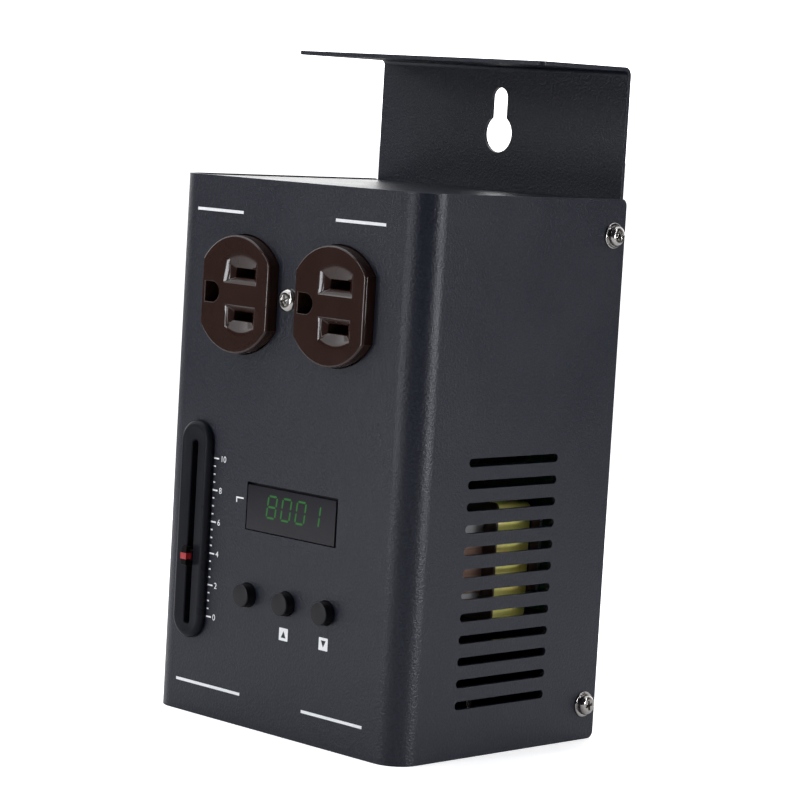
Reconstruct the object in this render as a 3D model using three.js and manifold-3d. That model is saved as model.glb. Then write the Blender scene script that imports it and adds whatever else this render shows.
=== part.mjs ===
// A small dimmer pack for stage lights: a folded steel case with a hanging plate, a duplex mains
// outlet, a slide fader, a four digit display, three push buttons, and the connectors underneath.
// Millimetres. X runs to the right seen from the front, Y runs from front to back, and Z is up.
// The pieces are drawn with the case's front face at y = 0 and its lower rim at z = 0.

import * as THREE from "three";
import { mergeVertices } from "three/addons/utils/BufferGeometryUtils.js";
import Module from "manifold-3d";

const wasm = await Module();
wasm.setup();

// Clearances and counts
const gap = 0.3; // between two pieces that touch
const overrun = 1; // how far a cut runs past what it cuts
const skim = 0.01; // how far a tapered cut stands in front of the face that it opens
const weld = 0.0005; // vertices closer than this are one
const arcSteps = 4; // flat steps in a bend, and half those of a small circle
const faceSteps = 8; // half the flat steps of a circle that is seen
const roundSteps = 12; // half the flat steps of a turned or large round piece

// Case
const caseWidth = 102;
const caseHeight = 156;
const sheet = 1.2;
const cornerRadius = 8;
const rearCornerRadius = 2;
const bottomRecess = 4;
const topRecess = 0.4;
const topLipDepth = 9;

// Hanging plate
const hangerRise = 37.3;
const flangeDepth = 37.6;
const bendRadius = 2.5;
const flangeCornerRadius = 2;
const keyholeHeadDiameter = 11;
const keyholeSlotWidth = 6.2;
const keyholeHeadDrop = 21.1;
const keyholeSlotDrop = 7.5;
const returnDepth = 14;
const returnEndInset = 4;

// Vents in both sides
const ventCount = 12;
const ventLength = 36;
const ventHeight = 2.4;
const ventPitch = 6.15;
const ventFrontInset = 22;
const lowestVentHeight = 15.1;

// Screws that hold the cover
const coverScrewRearInset = 5;
const coverScrewEndInset = 10.4;
const coverScrewHeadDiameter = 5.8;
const coverScrewHeadHeight = 1.9;
const coverWasherDiameter = 7.4;
const coverWasherThickness = 0.6;
const coverScrewDiameter = 3;
const coverScrewReach = 3;
const crossSlotWidth = 0.9;
const screwDomeRadiusShare = 0.75;
const screwDomeHeightShare = 0.88;
const screwShoulderShare = 0.5;
const crossSlotFloorShare = 0.35;
const crossSlotReachShare = 0.55;

// Duplex outlet
const outletDrop = 33; // from the upper rim down to the middle of the outlet
const outletHeight = caseHeight - outletDrop;
const outletShift = -0.9;
const outletSpacing = 38.9;
const outletFaceDiameter = 33.7;
const outletFaceFlats = 28.2;
const outletProud = 3.5;
const outletEndMargin = 1.4;
const outletBodyHeight = 33;
const outletFrontDepth = 11;
const outletRearDepth = 15;
const bladeSpacing = 12.7;
const bladeSlotLength = 7.8;
const bladeSlotWidth = 2.3;
const bladeSlotShift = 2.4;
const pocketDepth = 3;
const pocketLeft = 5;
const pocketRight = 9;
const pocketInner = 3;
const pocketOuter = 10.2;
const pocketCrown = 12.2;
const groundHoleDiameter = 5.8;
const groundHoleShift = -9.5;
const strapSideMargin = 8; // between each end of the strap and the side of the case
const strapWidth = 13;
const strapThickness = 1.2;
const strapHoleInset = 4;
const strapHoleDiameter = 4;
const outletScrewDiameter = 3.4;
const outletScrewLength = 9;
const outletScrewHeadDiameter = 6.6;
const outletScrewHeadHeight = 1.9;
const contactSheet = 0.7;
const contactDepth = 10;
const bladeGap = 1.5;
const groundPinGap = 4;

// Controls behind the front
const controlX = 4.4; // middle of the display and of the row of buttons
const controlBoardLeft = -44;
const controlBoardRight = 37;
const controlBoardLow = 19;
const controlBoardHigh = 86;
const boardThickness = 1.6;
const frontStandoffLength = 10.5;
const frontStandoffDiameter = 6;
const frontStandoffLeft = -26.5;
const frontStandoffEndInset = 4;
const boardScrewDiameter = 2.4;
const boardScrewLength = 6;
const boardScrewHeadDiameter = 5;
const boardScrewHeadHeight = 1.6;

// Display
const displayHeight = 63.4;
const displayOpeningWidth = 37.4;
const displayOpeningHeight = 13.8;
const lensSetback = 0.4;
const lensRim = 2;
const lensRimThickness = 1;
const ledModuleWidth = 30.4;
const ledModuleHeight = 12.8;

// Buttons
const buttonHeight = 38;
const buttonPitch = 16.2;
const buttonDiameter = 6.6;
const buttonProud = 3;
const buttonCollar = 1;
const buttonCollarThickness = 1;
const buttonStemDiameter = 3.4;
const buttonTravel = 0.6;
const switchSize = 6;
const switchThickness = 3.5;
const switchFloor = 0.7;

// Fader
const faderX = -35.5;
const faderMiddle = 52.1;
const faderTravel = 45;
const faderSet = 16.4; // height of the cap above the end of its travel
const bezelWidth = 12.6;
const bezelLow = 21.9;
const bezelHigh = 85.4;
const bezelCrest = 2.2;
const bezelDish = 1.9;
const bezelRound = 1.6;
const bezelSpigotInset = 2.2;
const faderSlotWidth = 2.4;
const faderSlotLow = 25.9;
const faderSlotHigh = 79.7;
const faderBodyWidth = 9;
const faderBodyLength = 60;
const faderBodyDepth = 7;
const faderCanWall = 0.8;
const faderCapWidth = 2.4;
const faderCapLength = 5.6;
const faderCapProud = 4.3;
const faderCapWall = 0.4;
const faderLeverLength = 3;
const faderCarriageLength = 7;

// Power board on the back plate
const powerStandoffLength = 7;
const powerStandoffDiameter = 6;
const powerBoardWidth = 90;
const powerBoardLow = 36;
const powerBoardHigh = 112;
const powerScrewInset = 4.5;

// Transformer
const coreRight = 36;
const coreLow = 42;
const coreStack = 22;
const coreLeg = 8;
const coreWindowWidth = 12;
const coreWindowLength = 16;
const windingBuild = 5;
const windingCorner = 3.5;
const clampSheet = 1;

// Other parts on the power board
const heatsinkLeft = -42;
const heatsinkWidth = 18;
const heatsinkDepth = 26;
const heatsinkLow = 50;
const heatsinkLength = 46;
const heatsinkBase = 3;
const heatsinkFin = 1.4;
const heatsinkFinCount = 6;
const triacThickness = 4.5;
const triacLength = 15;
const triacWidth = 10;
const triacLow = 68;
const triacLeadLength = 5;
const triacLeadWidth = 0.9;
const triacLeadPitch = 2.54;
const chokeX = -3;
const chokeClearance = 3; // above the ribbon cable
const chokeDiameter = 26;
const chokeHoleDiameter = 12;
const chokeThickness = 11.6;
const capacitorX = 24;
const capacitorClearance = 8.5; // above the windings
const capacitorDiameter = 13;
const capacitorLength = 20;
const terminalLeft = -18;
const terminalWidth = 20;
const terminalLow = 56;
const terminalSize = 10;
const ribbonLeft = -16;
const ribbonWidth = 10;
const ribbonHeight = 76;
const ribbonRise = 5;
const ribbonThickness = 1;

// Mains inlet with its fuse drawer, under the case
const inletRearMargin = 4; // between the inlet's flange and the back of the case
const inletFlangeWidth = 50;
const inletFlangeDepth = 31;
const flangeThickness = 1.8;
const inletBodyWidth = 27.4;
const inletBodyDepth = 28;
const inletBodyHeight = 24;
const inletWall = 1.4;
const inletRecessWidth = 24.2;
const inletRecessDepth = 16.4;
const inletRecessHeight = 17;
const inletRecessChamfer = 4;
const inletPinPitch = 7;
const inletPinShift = 2;
const inletPinWidth = 2;
const inletPinDepth = 4;
const inletPinRecess = 1.5;
const inletTabHeight = 6;
const inletTabThickness = 0.8;
const inletScrewSpacing = 40;
const drawerWidth = 22.4;
const drawerDepth = 7;
const drawerHeight = 20;
const drawerFaceRim = 0.8;
const drawerFaceThickness = 0.8;
const drawerTrayHeight = 9;
const fuseDiameter = 5.2;
const fuseLength = 20;
const fuseCapLength = 5;
const fuseGlassDiameter = 4.6;

// Control connectors, under the case
const connectorX = 17;
const connectorFrontMargin = 13; // between the connectors' flanges and the front of the case
const connectorSpacing = 1.5; // between the connectors' flanges and the inlet's
const connectorFlangeWidth = 26;
const connectorFlangeDepth = 31;
const connectorFlangeCorner = 3;
const connectorBarrelDiameter = 23.6;
const connectorBarrelHeight = 22;
const connectorScrewX = 9.5;
const connectorScrewY = 12;
const connectorBoreDiameter = 18.4;
const connectorBoreDepth = 15;
const connectorPinCircle = 10.2;
const connectorPinDiameter = 2.4;
const connectorPinRecess = 4.6;
const connectorInsertDiameter = 15.4;
const connectorSocketDiameter = 3;
const latchWidth = 6;
const latchThickness = 1.6;
const latchProud = 1.1;
const latchHeight = 9;
const bottomScrewDiameter = 3;
const bottomScrewHeadDiameter = 5.4;
const bottomScrewHeadHeight = 1.3;
const bottomScrewLength = 7;

// Mains wires from the inlet to the terminal block
const wireDiameter = 2.2;
const wireSteps = 16;
const wireLead = 8; // how straight a wire runs before it bends

// Places that follow from the sizes above. The case is as deep as the connectors under it need.
const connectorY = connectorFrontMargin + connectorFlangeDepth / 2;
const inletY = connectorFrontMargin + connectorFlangeDepth + connectorSpacing + inletFlangeDepth / 2;
const caseDepth = inletY + inletFlangeDepth / 2 + inletRearMargin;
const halfWidth = caseWidth / 2;
const insideHalf = halfWidth - sheet - gap;
const insideFront = sheet + gap;
const backPlateFront = caseDepth - sheet;
const hangerTop = caseHeight + hangerRise;
const bottomPanelTop = bottomRecess + sheet;
const controlBoardFront = sheet + frontStandoffLength + gap;
const controlBoardRear = controlBoardFront + boardThickness;
const powerBoardRear = backPlateFront - powerStandoffLength - gap;
const powerBoardFront = powerBoardRear - boardThickness;
const outletRear = insideFront + outletFrontDepth;
const outletEnd = outletSpacing / 2 + outletFaceFlats / 2 + outletEndMargin;
const flangeLow = bottomRecess - gap - flangeThickness;
const flangeHigh = bottomRecess - gap;
const faderBodyFront = controlBoardFront - gap - faderBodyDepth;
const faderHeight = faderMiddle - faderTravel / 2 + faderSet;
const strapLength = caseWidth - 2 * strapSideMargin;
const strapHoleSpacing = strapLength - 2 * strapHoleInset;
const capacitorHeight = coreLow + coreStack + windingBuild + capacitorClearance + capacitorDiameter / 2;
const ribbonTop = ribbonHeight + ribbonRise + ribbonThickness;
const chokeHeight = ribbonTop + chokeClearance + chokeDiameter / 2;

// Finishes
function finish(color, roughness, metalness) {
  return new THREE.MeshStandardMaterial({ color, roughness, metalness });
}

const casePaint = finish(0x33363e, 0.5, 0.2);
const nickel = finish(0xb9b4a8, 0.3, 1);
const brownPlastic = finish(0x32201a, 0.2, 0);
const blackPlastic = finish(0x17171a, 0.45, 0);
const darkLens = finish(0x15161b, 0.15, 0);
const zincSteel = finish(0xb0b3b5, 0.4, 0.9);
const brass = finish(0xb8963f, 0.35, 1);
const boardGreen = finish(0x1d5a34, 0.5, 0);
const tapeYellow = finish(0xbdb34f, 0.4, 0);
const coreSteel = finish(0x8a6a5c, 0.55, 0.5);
const aluminium = finish(0xa9adb0, 0.4, 0.9);
const copperRed = finish(0x8e4a24, 0.35, 0.8);
const greyPlastic = finish(0x8b8d8c, 0.5, 0);
const glass = finish(0xd8e2e0, 0.1, 0);
const capMark = finish(0xb01e24, 0.4, 0);
const terminalGreen = finish(0x2f7d4a, 0.5, 0);

// A closed geometry as a solid that can be joined and cut.
function solid(geometry) {
  const bare = geometry.index ? geometry.toNonIndexed() : geometry.clone();
  bare.deleteAttribute("normal");
  bare.deleteAttribute("uv");
  const merged = mergeVertices(bare, weld);
  return new wasm.Manifold(
    new wasm.Mesh({
      numProp: 3,
      vertProperties: merged.attributes.position.array,
      triVerts: new Uint32Array(merged.index.array),
    }),
  );
}

function geometryOf(manifold) {
  const mesh = manifold.getMesh();
  return new THREE.BufferGeometry()
    .setAttribute("position", new THREE.BufferAttribute(mesh.vertProperties, 3))
    .setIndex(new THREE.BufferAttribute(mesh.triVerts, 1));
}

function join(first, ...others) {
  return others.reduce((whole, other) => whole.add(other), first);
}

function cut(first, ...others) {
  return others.reduce((whole, other) => whole.subtract(other), first);
}

// Outlines, drawn in two of the three axes
function rectangle(left, right, low, high) {
  const shape = new THREE.Shape();
  shape.moveTo(left, low);
  shape.lineTo(right, low);
  shape.lineTo(right, high);
  shape.lineTo(left, high);
  return shape;
}

function roundedRectangle(left, right, low, high, radius) {
  const shape = new THREE.Shape();
  const corners = [
    [right - radius, low + radius, -0.5],
    [right - radius, high - radius, 0],
    [left + radius, high - radius, 0.5],
    [left + radius, low + radius, 1],
  ];
  for (const [x, y, turn] of corners) {
    shape.absarc(x, y, radius, turn * Math.PI, (turn + 0.5) * Math.PI);
  }
  return shape;
}

function circle(x, y, diameter) {
  return new THREE.Shape().absarc(x, y, diameter / 2, 0, 2 * Math.PI);
}

function uprightSlot(x, low, high, width) {
  const radius = width / 2;
  const shape = new THREE.Shape();
  shape.absarc(x, high - radius, radius, 0, Math.PI);
  shape.absarc(x, low + radius, radius, Math.PI, 2 * Math.PI);
  return shape;
}

function levelSlot(left, right, y, height) {
  const radius = height / 2;
  const shape = new THREE.Shape();
  shape.absarc(right - radius, y, radius, -0.5 * Math.PI, 0.5 * Math.PI);
  shape.absarc(left + radius, y, radius, 0.5 * Math.PI, 1.5 * Math.PI);
  return shape;
}

// An outline pushed along one axis. Across Y it is drawn in x and z, and across X in y and z.
function push(shape, length, steps) {
  return new THREE.ExtrudeGeometry(shape, { depth: length, bevelEnabled: false, curveSegments: steps });
}

function alongZ(shape, low, high, steps = arcSteps) {
  return solid(push(shape, high - low, steps).translate(0, 0, low));
}

function alongY(shape, front, rear, steps = arcSteps) {
  const turn = new THREE.Matrix4().makeBasis(
    new THREE.Vector3(1, 0, 0),
    new THREE.Vector3(0, 0, 1),
    new THREE.Vector3(0, -1, 0),
  );
  return solid(push(shape, rear - front, steps).applyMatrix4(turn).translate(0, rear, 0));
}

function alongX(shape, left, right, steps = arcSteps) {
  const turn = new THREE.Matrix4().makeBasis(
    new THREE.Vector3(0, 1, 0),
    new THREE.Vector3(0, 0, 1),
    new THREE.Vector3(1, 0, 0),
  );
  return solid(push(shape, right - left, steps).applyMatrix4(turn).translate(left, 0, 0));
}

function block(left, right, front, rear, low, high) {
  const geometry = new THREE.BoxGeometry(right - left, rear - front, high - low);
  return solid(geometry.translate((left + right) / 2, (front + rear) / 2, (low + high) / 2));
}

// A closed skin between two convex rings with as many points each. Both rings run anticlockwise
// seen from the front, and the first ring is the front one.
function loft(first, second) {
  const count = first.length;
  const corners = [];
  for (let i = 1; i < count - 1; i++) {
    corners.push(0, i, i + 1, count, count + i + 1, count + i);
  }
  for (let i = 0; i < count; i++) {
    const next = (i + 1) % count;
    corners.push(i, count + next, next, i, count + i, count + next);
  }
  const geometry = new THREE.BufferGeometry().setFromPoints([...first, ...second]);
  return solid(geometry.setIndex(corners));
}

// A profile of radius and distance turned about the X axis.
function turned(profile, steps) {
  const points = profile.map(([radius, distance]) => new THREE.Vector2(radius, distance));
  return solid(new THREE.LatheGeometry(points, steps).rotateZ(-0.5 * Math.PI));
}

const pack = new THREE.Group();

function add(name, form, material) {
  const mesh = new THREE.Mesh(geometryOf(form), material);
  mesh.name = name;
  pack.add(mesh);
  return mesh;
}

// A cross-slot screw along X with its seat at x = 0 and its head to the right.
function panScrew(headDiameter, headHeight, washerDiameter, washerThickness, diameter, length) {
  const headRadius = headDiameter / 2;
  const profile = [
    [0, -length],
    [diameter / 2, -length],
    [diameter / 2, 0],
    [washerDiameter / 2, 0],
    [washerDiameter / 2, washerThickness],
    [headRadius, washerThickness],
    [headRadius, washerThickness + headHeight * screwShoulderShare],
    [headRadius * screwDomeRadiusShare, washerThickness + headHeight * screwDomeHeightShare],
    [0, washerThickness + headHeight],
  ];
  const top = washerThickness + headHeight;
  const floor = washerThickness + headHeight * crossSlotFloorShare;
  const arm = headRadius * crossSlotReachShare;
  const half = crossSlotWidth / 2;
  return cut(
    turned(profile, roundSteps),
    block(floor, top + overrun, -arm, arm, -half, half),
    block(floor, top + overrun, -half, half, -arm, arm),
  );
}

function coverOutline() {
  const inside = halfWidth - sheet;
  const bend = halfWidth - cornerRadius;
  const innerRadius = cornerRadius - sheet;
  const shape = new THREE.Shape();
  shape.moveTo(-halfWidth, caseDepth);
  shape.absarc(-bend, cornerRadius, cornerRadius, Math.PI, 1.5 * Math.PI);
  shape.absarc(bend, cornerRadius, cornerRadius, 1.5 * Math.PI, 2 * Math.PI);
  shape.lineTo(halfWidth, caseDepth);
  shape.lineTo(inside, caseDepth);
  shape.absarc(bend, cornerRadius, innerRadius, 0, -0.5 * Math.PI, true);
  shape.absarc(-bend, cornerRadius, innerRadius, -0.5 * Math.PI, -Math.PI, true);
  shape.lineTo(-inside, caseDepth);
  return shape;
}

// The outline of one outlet face: a circle with a flat on each side.
function outletFace(x, clearance) {
  const radius = outletFaceDiameter / 2 + clearance;
  const flat = outletFaceFlats / 2 + clearance;
  const angle = Math.acos(flat / radius);
  const shape = new THREE.Shape();
  shape.absarc(x, outletHeight, radius, angle, Math.PI - angle);
  shape.absarc(x, outletHeight, radius, Math.PI + angle, 2 * Math.PI - angle);
  return shape;
}

const outletCentres = [-0.5, 0.5].map((share) => outletShift + share * outletSpacing);
const buttonCentres = [-1, 0, 1].map((place) => controlX + place * buttonPitch);

const frontStandoffs = [frontStandoffLeft, controlBoardRight - frontStandoffEndInset].flatMap((x) => [
  [x, controlBoardLow + frontStandoffEndInset],
  [x, controlBoardHigh - frontStandoffEndInset],
]);

const powerStandoffs = [-1, 1].flatMap((side) => [
  [side * (powerBoardWidth / 2 - powerScrewInset), powerBoardLow + powerScrewInset],
  [side * (powerBoardWidth / 2 - powerScrewInset), powerBoardHigh - powerScrewInset],
]);

const coverScrewY = caseDepth - coverScrewRearInset;
const coverScrewHeights = [coverScrewEndInset, caseHeight - coverScrewEndInset];

function coverScrewHoles() {
  const hole = coverScrewDiameter + 2 * gap;
  return coverScrewHeights.map((z) =>
    alongX(circle(coverScrewY, z, hole), -halfWidth - overrun, halfWidth + overrun),
  );
}

// The U of sheet that makes the front and both sides.
function frontCover() {
  const profile = roundedRectangle(-cornerRadius, caseDepth, 0, caseHeight, rearCornerRadius);
  const shell = alongZ(coverOutline(), 0, caseHeight).intersect(
    alongX(profile, -halfWidth - overrun, halfWidth + overrun),
  );
  const standoffs = frontStandoffs.map(([x, z]) =>
    alongY(circle(x, z, frontStandoffDiameter), sheet / 2, controlBoardFront - gap),
  );
  const standoffBores = frontStandoffs.map(([x, z]) =>
    alongY(circle(x, z, boardScrewDiameter + 2 * gap), insideFront, controlBoardFront),
  );
  const front = [
    ...outletCentres.map((x) => outletFace(x, gap)),
    circle(outletShift, outletHeight, outletScrewDiameter + 2 * gap),
    uprightSlot(
      faderX,
      bezelLow + bezelSpigotInset - gap,
      bezelHigh - bezelSpigotInset + gap,
      bezelWidth - 2 * bezelSpigotInset + 2 * gap,
    ),
    rectangle(
      controlX - displayOpeningWidth / 2,
      controlX + displayOpeningWidth / 2,
      displayHeight - displayOpeningHeight / 2,
      displayHeight + displayOpeningHeight / 2,
    ),
    ...buttonCentres.map((x) => circle(x, buttonHeight, buttonDiameter + 2 * gap)),
  ];
  const frontCuts = front.map((shape) => alongY(shape, -overrun, insideFront, roundSteps / 2));
  const vents = [];
  for (let i = 0; i < ventCount; i++) {
    const z = lowestVentHeight + i * ventPitch;
    const slot = levelSlot(ventFrontInset, ventFrontInset + ventLength, z, ventHeight);
    vents.push(alongX(slot, -halfWidth - overrun, halfWidth + overrun, arcSteps / 2));
  }
  const body = join(shell, ...standoffs);
  return cut(body, ...standoffBores, ...frontCuts, ...vents, ...coverScrewHoles());
}

// The bent strip that runs from the hanging flange down the back and forward under the case.
function chassisProfile() {
  const inner = bendRadius - sheet;
  const flangeFront = caseDepth - flangeDepth;
  const bendY = caseDepth - bendRadius;
  const topBend = hangerTop - bendRadius;
  const lowBend = bottomRecess + bendRadius;
  const shape = new THREE.Shape();
  shape.moveTo(caseDepth, lowBend);
  shape.absarc(bendY, topBend, bendRadius, 0, 0.5 * Math.PI);
  shape.lineTo(flangeFront, hangerTop);
  shape.lineTo(flangeFront, hangerTop - sheet);
  shape.absarc(bendY, topBend, inner, 0.5 * Math.PI, 0, true);
  shape.absarc(bendY, lowBend, inner, 0, -0.5 * Math.PI, true);
  shape.lineTo(insideFront, bottomPanelTop);
  shape.lineTo(insideFront, bottomRecess);
  shape.absarc(bendY, lowBend, bendRadius, 1.5 * Math.PI, 2 * Math.PI);
  return shape;
}

// The plan of a panel that fits inside the cover's two bends.
function insidePlan(rear) {
  const radius = cornerRadius - sheet - gap;
  const shape = new THREE.Shape();
  shape.moveTo(insideHalf, rear);
  shape.lineTo(-insideHalf, rear);
  shape.absarc(-insideHalf + radius, insideFront + radius, radius, Math.PI, 1.5 * Math.PI);
  shape.absarc(insideHalf - radius, insideFront + radius, radius, 1.5 * Math.PI, 2 * Math.PI);
  return shape;
}

function keyhole() {
  const headHeight = hangerTop - keyholeHeadDrop;
  const slotTop = hangerTop - keyholeSlotDrop;
  return join(
    alongY(
      circle(0, headHeight, keyholeHeadDiameter),
      backPlateFront - overrun,
      caseDepth + overrun,
      faceSteps,
    ),
    alongY(
      uprightSlot(0, headHeight - keyholeSlotWidth / 2, slotTop, keyholeSlotWidth),
      backPlateFront - overrun,
      caseDepth + overrun,
      faceSteps / 2,
    ),
  );
}

function bottomCuts() {
  const low = bottomRecess - overrun;
  const high = bottomPanelTop + overrun;
  const bodyHalf = inletBodyWidth / 2 + gap;
  const bodyDepthHalf = inletBodyDepth / 2 + gap;
  const screwHole = bottomScrewDiameter + 2 * gap;
  const latch = latchPlace();
  const holes = [
    rectangle(-bodyHalf, bodyHalf, inletY - bodyDepthHalf, inletY + bodyDepthHalf),
    circle(-connectorX, connectorY, connectorBarrelDiameter + 2 * gap),
    circle(connectorX, connectorY, connectorBarrelDiameter + 2 * gap),
    rectangle(
      connectorX - latchWidth / 2 - gap,
      connectorX + latchWidth / 2 + gap,
      latch.front - gap,
      connectorY,
    ),
    ...bottomScrewPlaces().map(([x, y]) => circle(x, y, screwHole)),
  ];
  return holes.map((shape) => alongZ(shape, low, high, roundSteps));
}

function bottomScrewPlaces() {
  const connectorPlaces = [-connectorX, connectorX].flatMap((x) => [
    [x - connectorScrewX, connectorY + connectorScrewY],
    [x + connectorScrewX, connectorY - connectorScrewY],
  ]);
  const half = inletScrewSpacing / 2;
  return [[-half, inletY], [half, inletY], ...connectorPlaces];
}

// The latch stands just in front of the connector's barrel.
function latchPlace() {
  const rear = connectorY - connectorBarrelDiameter / 2 - gap;
  return { front: rear - latchThickness, rear };
}

// Back plate, hanging flange, bottom panel and the side returns that take the cover's screws.
function rearChassis() {
  const flangeFront = caseDepth - flangeDepth;
  const strip = alongX(chassisProfile(), -insideHalf, insideHalf);
  const panelPlan = alongZ(insidePlan(caseDepth), -overrun, caseHeight);
  const flangePlan = alongZ(
    roundedRectangle(-insideHalf, insideHalf, flangeFront, caseDepth + flangeDepth, flangeCornerRadius),
    caseHeight,
    hangerTop + overrun,
  );
  const returns = [-1, 1].map((side) => {
    const outer = side * insideHalf;
    const inner = side * (insideHalf - sheet);
    return block(
      Math.min(outer, inner),
      Math.max(outer, inner),
      caseDepth - returnDepth,
      backPlateFront + sheet / 2,
      bottomPanelTop + returnEndInset,
      caseHeight - topLipDepth - returnEndInset + coverScrewEndInset,
    );
  });
  const standoffs = powerStandoffs.map(([x, z]) =>
    alongY(circle(x, z, powerStandoffDiameter), powerBoardRear + gap, backPlateFront + sheet / 2),
  );
  const standoffBores = powerStandoffs.map(([x, z]) =>
    alongY(circle(x, z, boardScrewDiameter + 2 * gap), powerBoardRear, backPlateFront - gap),
  );
  const body = join(strip.intersect(join(panelPlan, flangePlan)), ...returns, ...standoffs);
  return cut(body, keyhole(), ...bottomCuts(), ...coverScrewHoles(), ...standoffBores);
}

// The lid between the cover's sides, with a lip down the back plate.
function topPanel() {
  const high = caseHeight - topRecess;
  const rear = backPlateFront - gap;
  const lipHalf = insideHalf - sheet - 2 * gap;
  return join(
    alongZ(insidePlan(rear), high - sheet, high),
    block(-lipHalf, lipHalf, rear - sheet, rear, high - topLipDepth, high - sheet / 2),
  );
}

function coverScrews() {
  const length = gap + sheet + gap + sheet + coverScrewReach;
  const screw = panScrew(
    coverScrewHeadDiameter,
    coverScrewHeadHeight,
    coverWasherDiameter,
    coverWasherThickness,
    coverScrewDiameter,
    length,
  );
  for (const [sideName, side] of [["left", -1], ["right", 1]]) {
    for (const [endName, z] of [["lower", coverScrewHeights[0]], ["upper", coverScrewHeights[1]]]) {
      const mesh = add(`cover_screw_${sideName}_${endName}`, screw, nickel);
      mesh.position.set(side * (halfWidth + gap), coverScrewY, z);
      mesh.rotation.z = side > 0 ? 0 : Math.PI;
    }
  }
}

// Where a blade goes in: a pocket that narrows to the slot, with a curved outer side.
function bladePocket(x, side) {
  const slotHeight = (bladeSpacing / 2) * side;
  const mouthY = -outletProud - skim;
  const floorY = -outletProud + pocketDepth;
  const left = x - pocketLeft;
  const right = x + pocketRight;
  const slotLeft = x + bladeSlotShift - bladeSlotLength / 2;
  const slotRight = slotLeft + bladeSlotLength;
  const steps = arcSteps * 2;
  const mouth = [];
  const floor = [];
  for (let i = 0; i <= steps; i++) {
    const share = i / steps;
    const crown = (pocketCrown - pocketOuter) * Math.sin(share * Math.PI);
    const reach = outletHeight + side * (pocketOuter + crown);
    mouth.push(new THREE.Vector3(left + share * (right - left), mouthY, reach));
    const slotEdge = outletHeight + slotHeight + side * (bladeSlotWidth / 2);
    floor.push(new THREE.Vector3(slotLeft + share * (slotRight - slotLeft), floorY, slotEdge));
  }
  const inner = outletHeight + side * pocketInner;
  const slotInner = outletHeight + slotHeight - side * (bladeSlotWidth / 2);
  mouth.push(new THREE.Vector3(right, mouthY, inner), new THREE.Vector3(left, mouthY, inner));
  floor.push(new THREE.Vector3(slotRight, floorY, slotInner), new THREE.Vector3(slotLeft, floorY, slotInner));
  if (side > 0) {
    mouth.reverse();
    floor.reverse();
  }
  const half = bladeSlotWidth / 2;
  const centre = outletHeight + slotHeight;
  return join(
    loft(mouth, floor),
    block(slotLeft, slotRight, floorY - pocketDepth / 2, outletRear + overrun, centre - half, centre + half),
  );
}

function groundHole(x) {
  const centre = x + groundHoleShift;
  const radius = groundHoleDiameter / 2;
  const shape = new THREE.Shape();
  shape.moveTo(centre - radius, outletHeight + radius);
  shape.lineTo(centre - radius, outletHeight - radius);
  shape.absarc(centre, outletHeight, radius, -0.5 * Math.PI, 0.5 * Math.PI);
  return alongY(shape, -outletProud - overrun, outletRear + overrun);
}

function outletBody() {
  const half = outletBodyHeight / 2;
  const left = outletShift - outletEnd;
  const right = outletShift + outletEnd;
  const base = block(left, right, insideFront, outletRear, outletHeight - half, outletHeight + half);
  const faces = outletCentres.map((x) =>
    alongY(outletFace(x, 0), -outletProud, insideFront + sheet, roundSteps / 2),
  );
  const openings = outletCentres.flatMap((x) => [bladePocket(x, 1), bladePocket(x, -1), groundHole(x)]);
  const screwHole = alongY(
    circle(outletShift, outletHeight, outletScrewDiameter + 2 * gap),
    -overrun,
    outletRear + overrun,
  );
  return cut(join(base, ...faces), ...openings, screwHole);
}

// The three rows of contacts, each a channel open to the front.
function contactRows() {
  const groundReach = groundHoleDiameter / 2;
  const blades = {
    inside: bladeGap,
    left: outletCentres[0] + bladeSlotShift - bladeSlotLength / 2,
    right: outletCentres[1] + bladeSlotShift + bladeSlotLength / 2,
  };
  return [
    { name: "hot_contact", offset: bladeSpacing / 2, ...blades },
    { name: "neutral_contact", offset: -bladeSpacing / 2, ...blades },
    {
      name: "ground_contact",
      offset: 0,
      inside: groundPinGap,
      left: outletCentres[0] + groundHoleShift - groundReach,
      right: outletCentres[1] + groundHoleShift + groundReach,
    },
  ];
}

function outletInside() {
  const front = outletRear + gap;
  const rear = front + outletRearDepth;
  const half = outletBodyHeight / 2;
  const left = outletShift - outletEnd;
  const right = outletShift + outletEnd;
  const grooves = [];
  for (const row of contactRows()) {
    const z = outletHeight + row.offset;
    const outer = row.inside / 2 + contactSheet;
    const inner = row.inside / 2;
    const contactFront = front + gap;
    const contactRear = contactFront + contactDepth;
    const channel = cut(
      block(row.left, row.right, contactFront, contactRear, z - outer, z + outer),
      block(
        row.left - overrun,
        row.right + overrun,
        contactFront - overrun,
        contactRear - contactSheet,
        z - inner,
        z + inner,
      ),
    );
    add(row.name, channel, brass);
    const wide = outer + gap;
    grooves.push(
      block(row.left - gap, row.right + gap, front - overrun, contactRear + gap, z - wide, z + wide),
    );
  }
  const housing = block(left, right, front, rear, outletHeight - half, outletHeight + half);
  add("outlet_rear_housing", cut(housing, ...grooves), blackPlastic);
  return rear;
}

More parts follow.
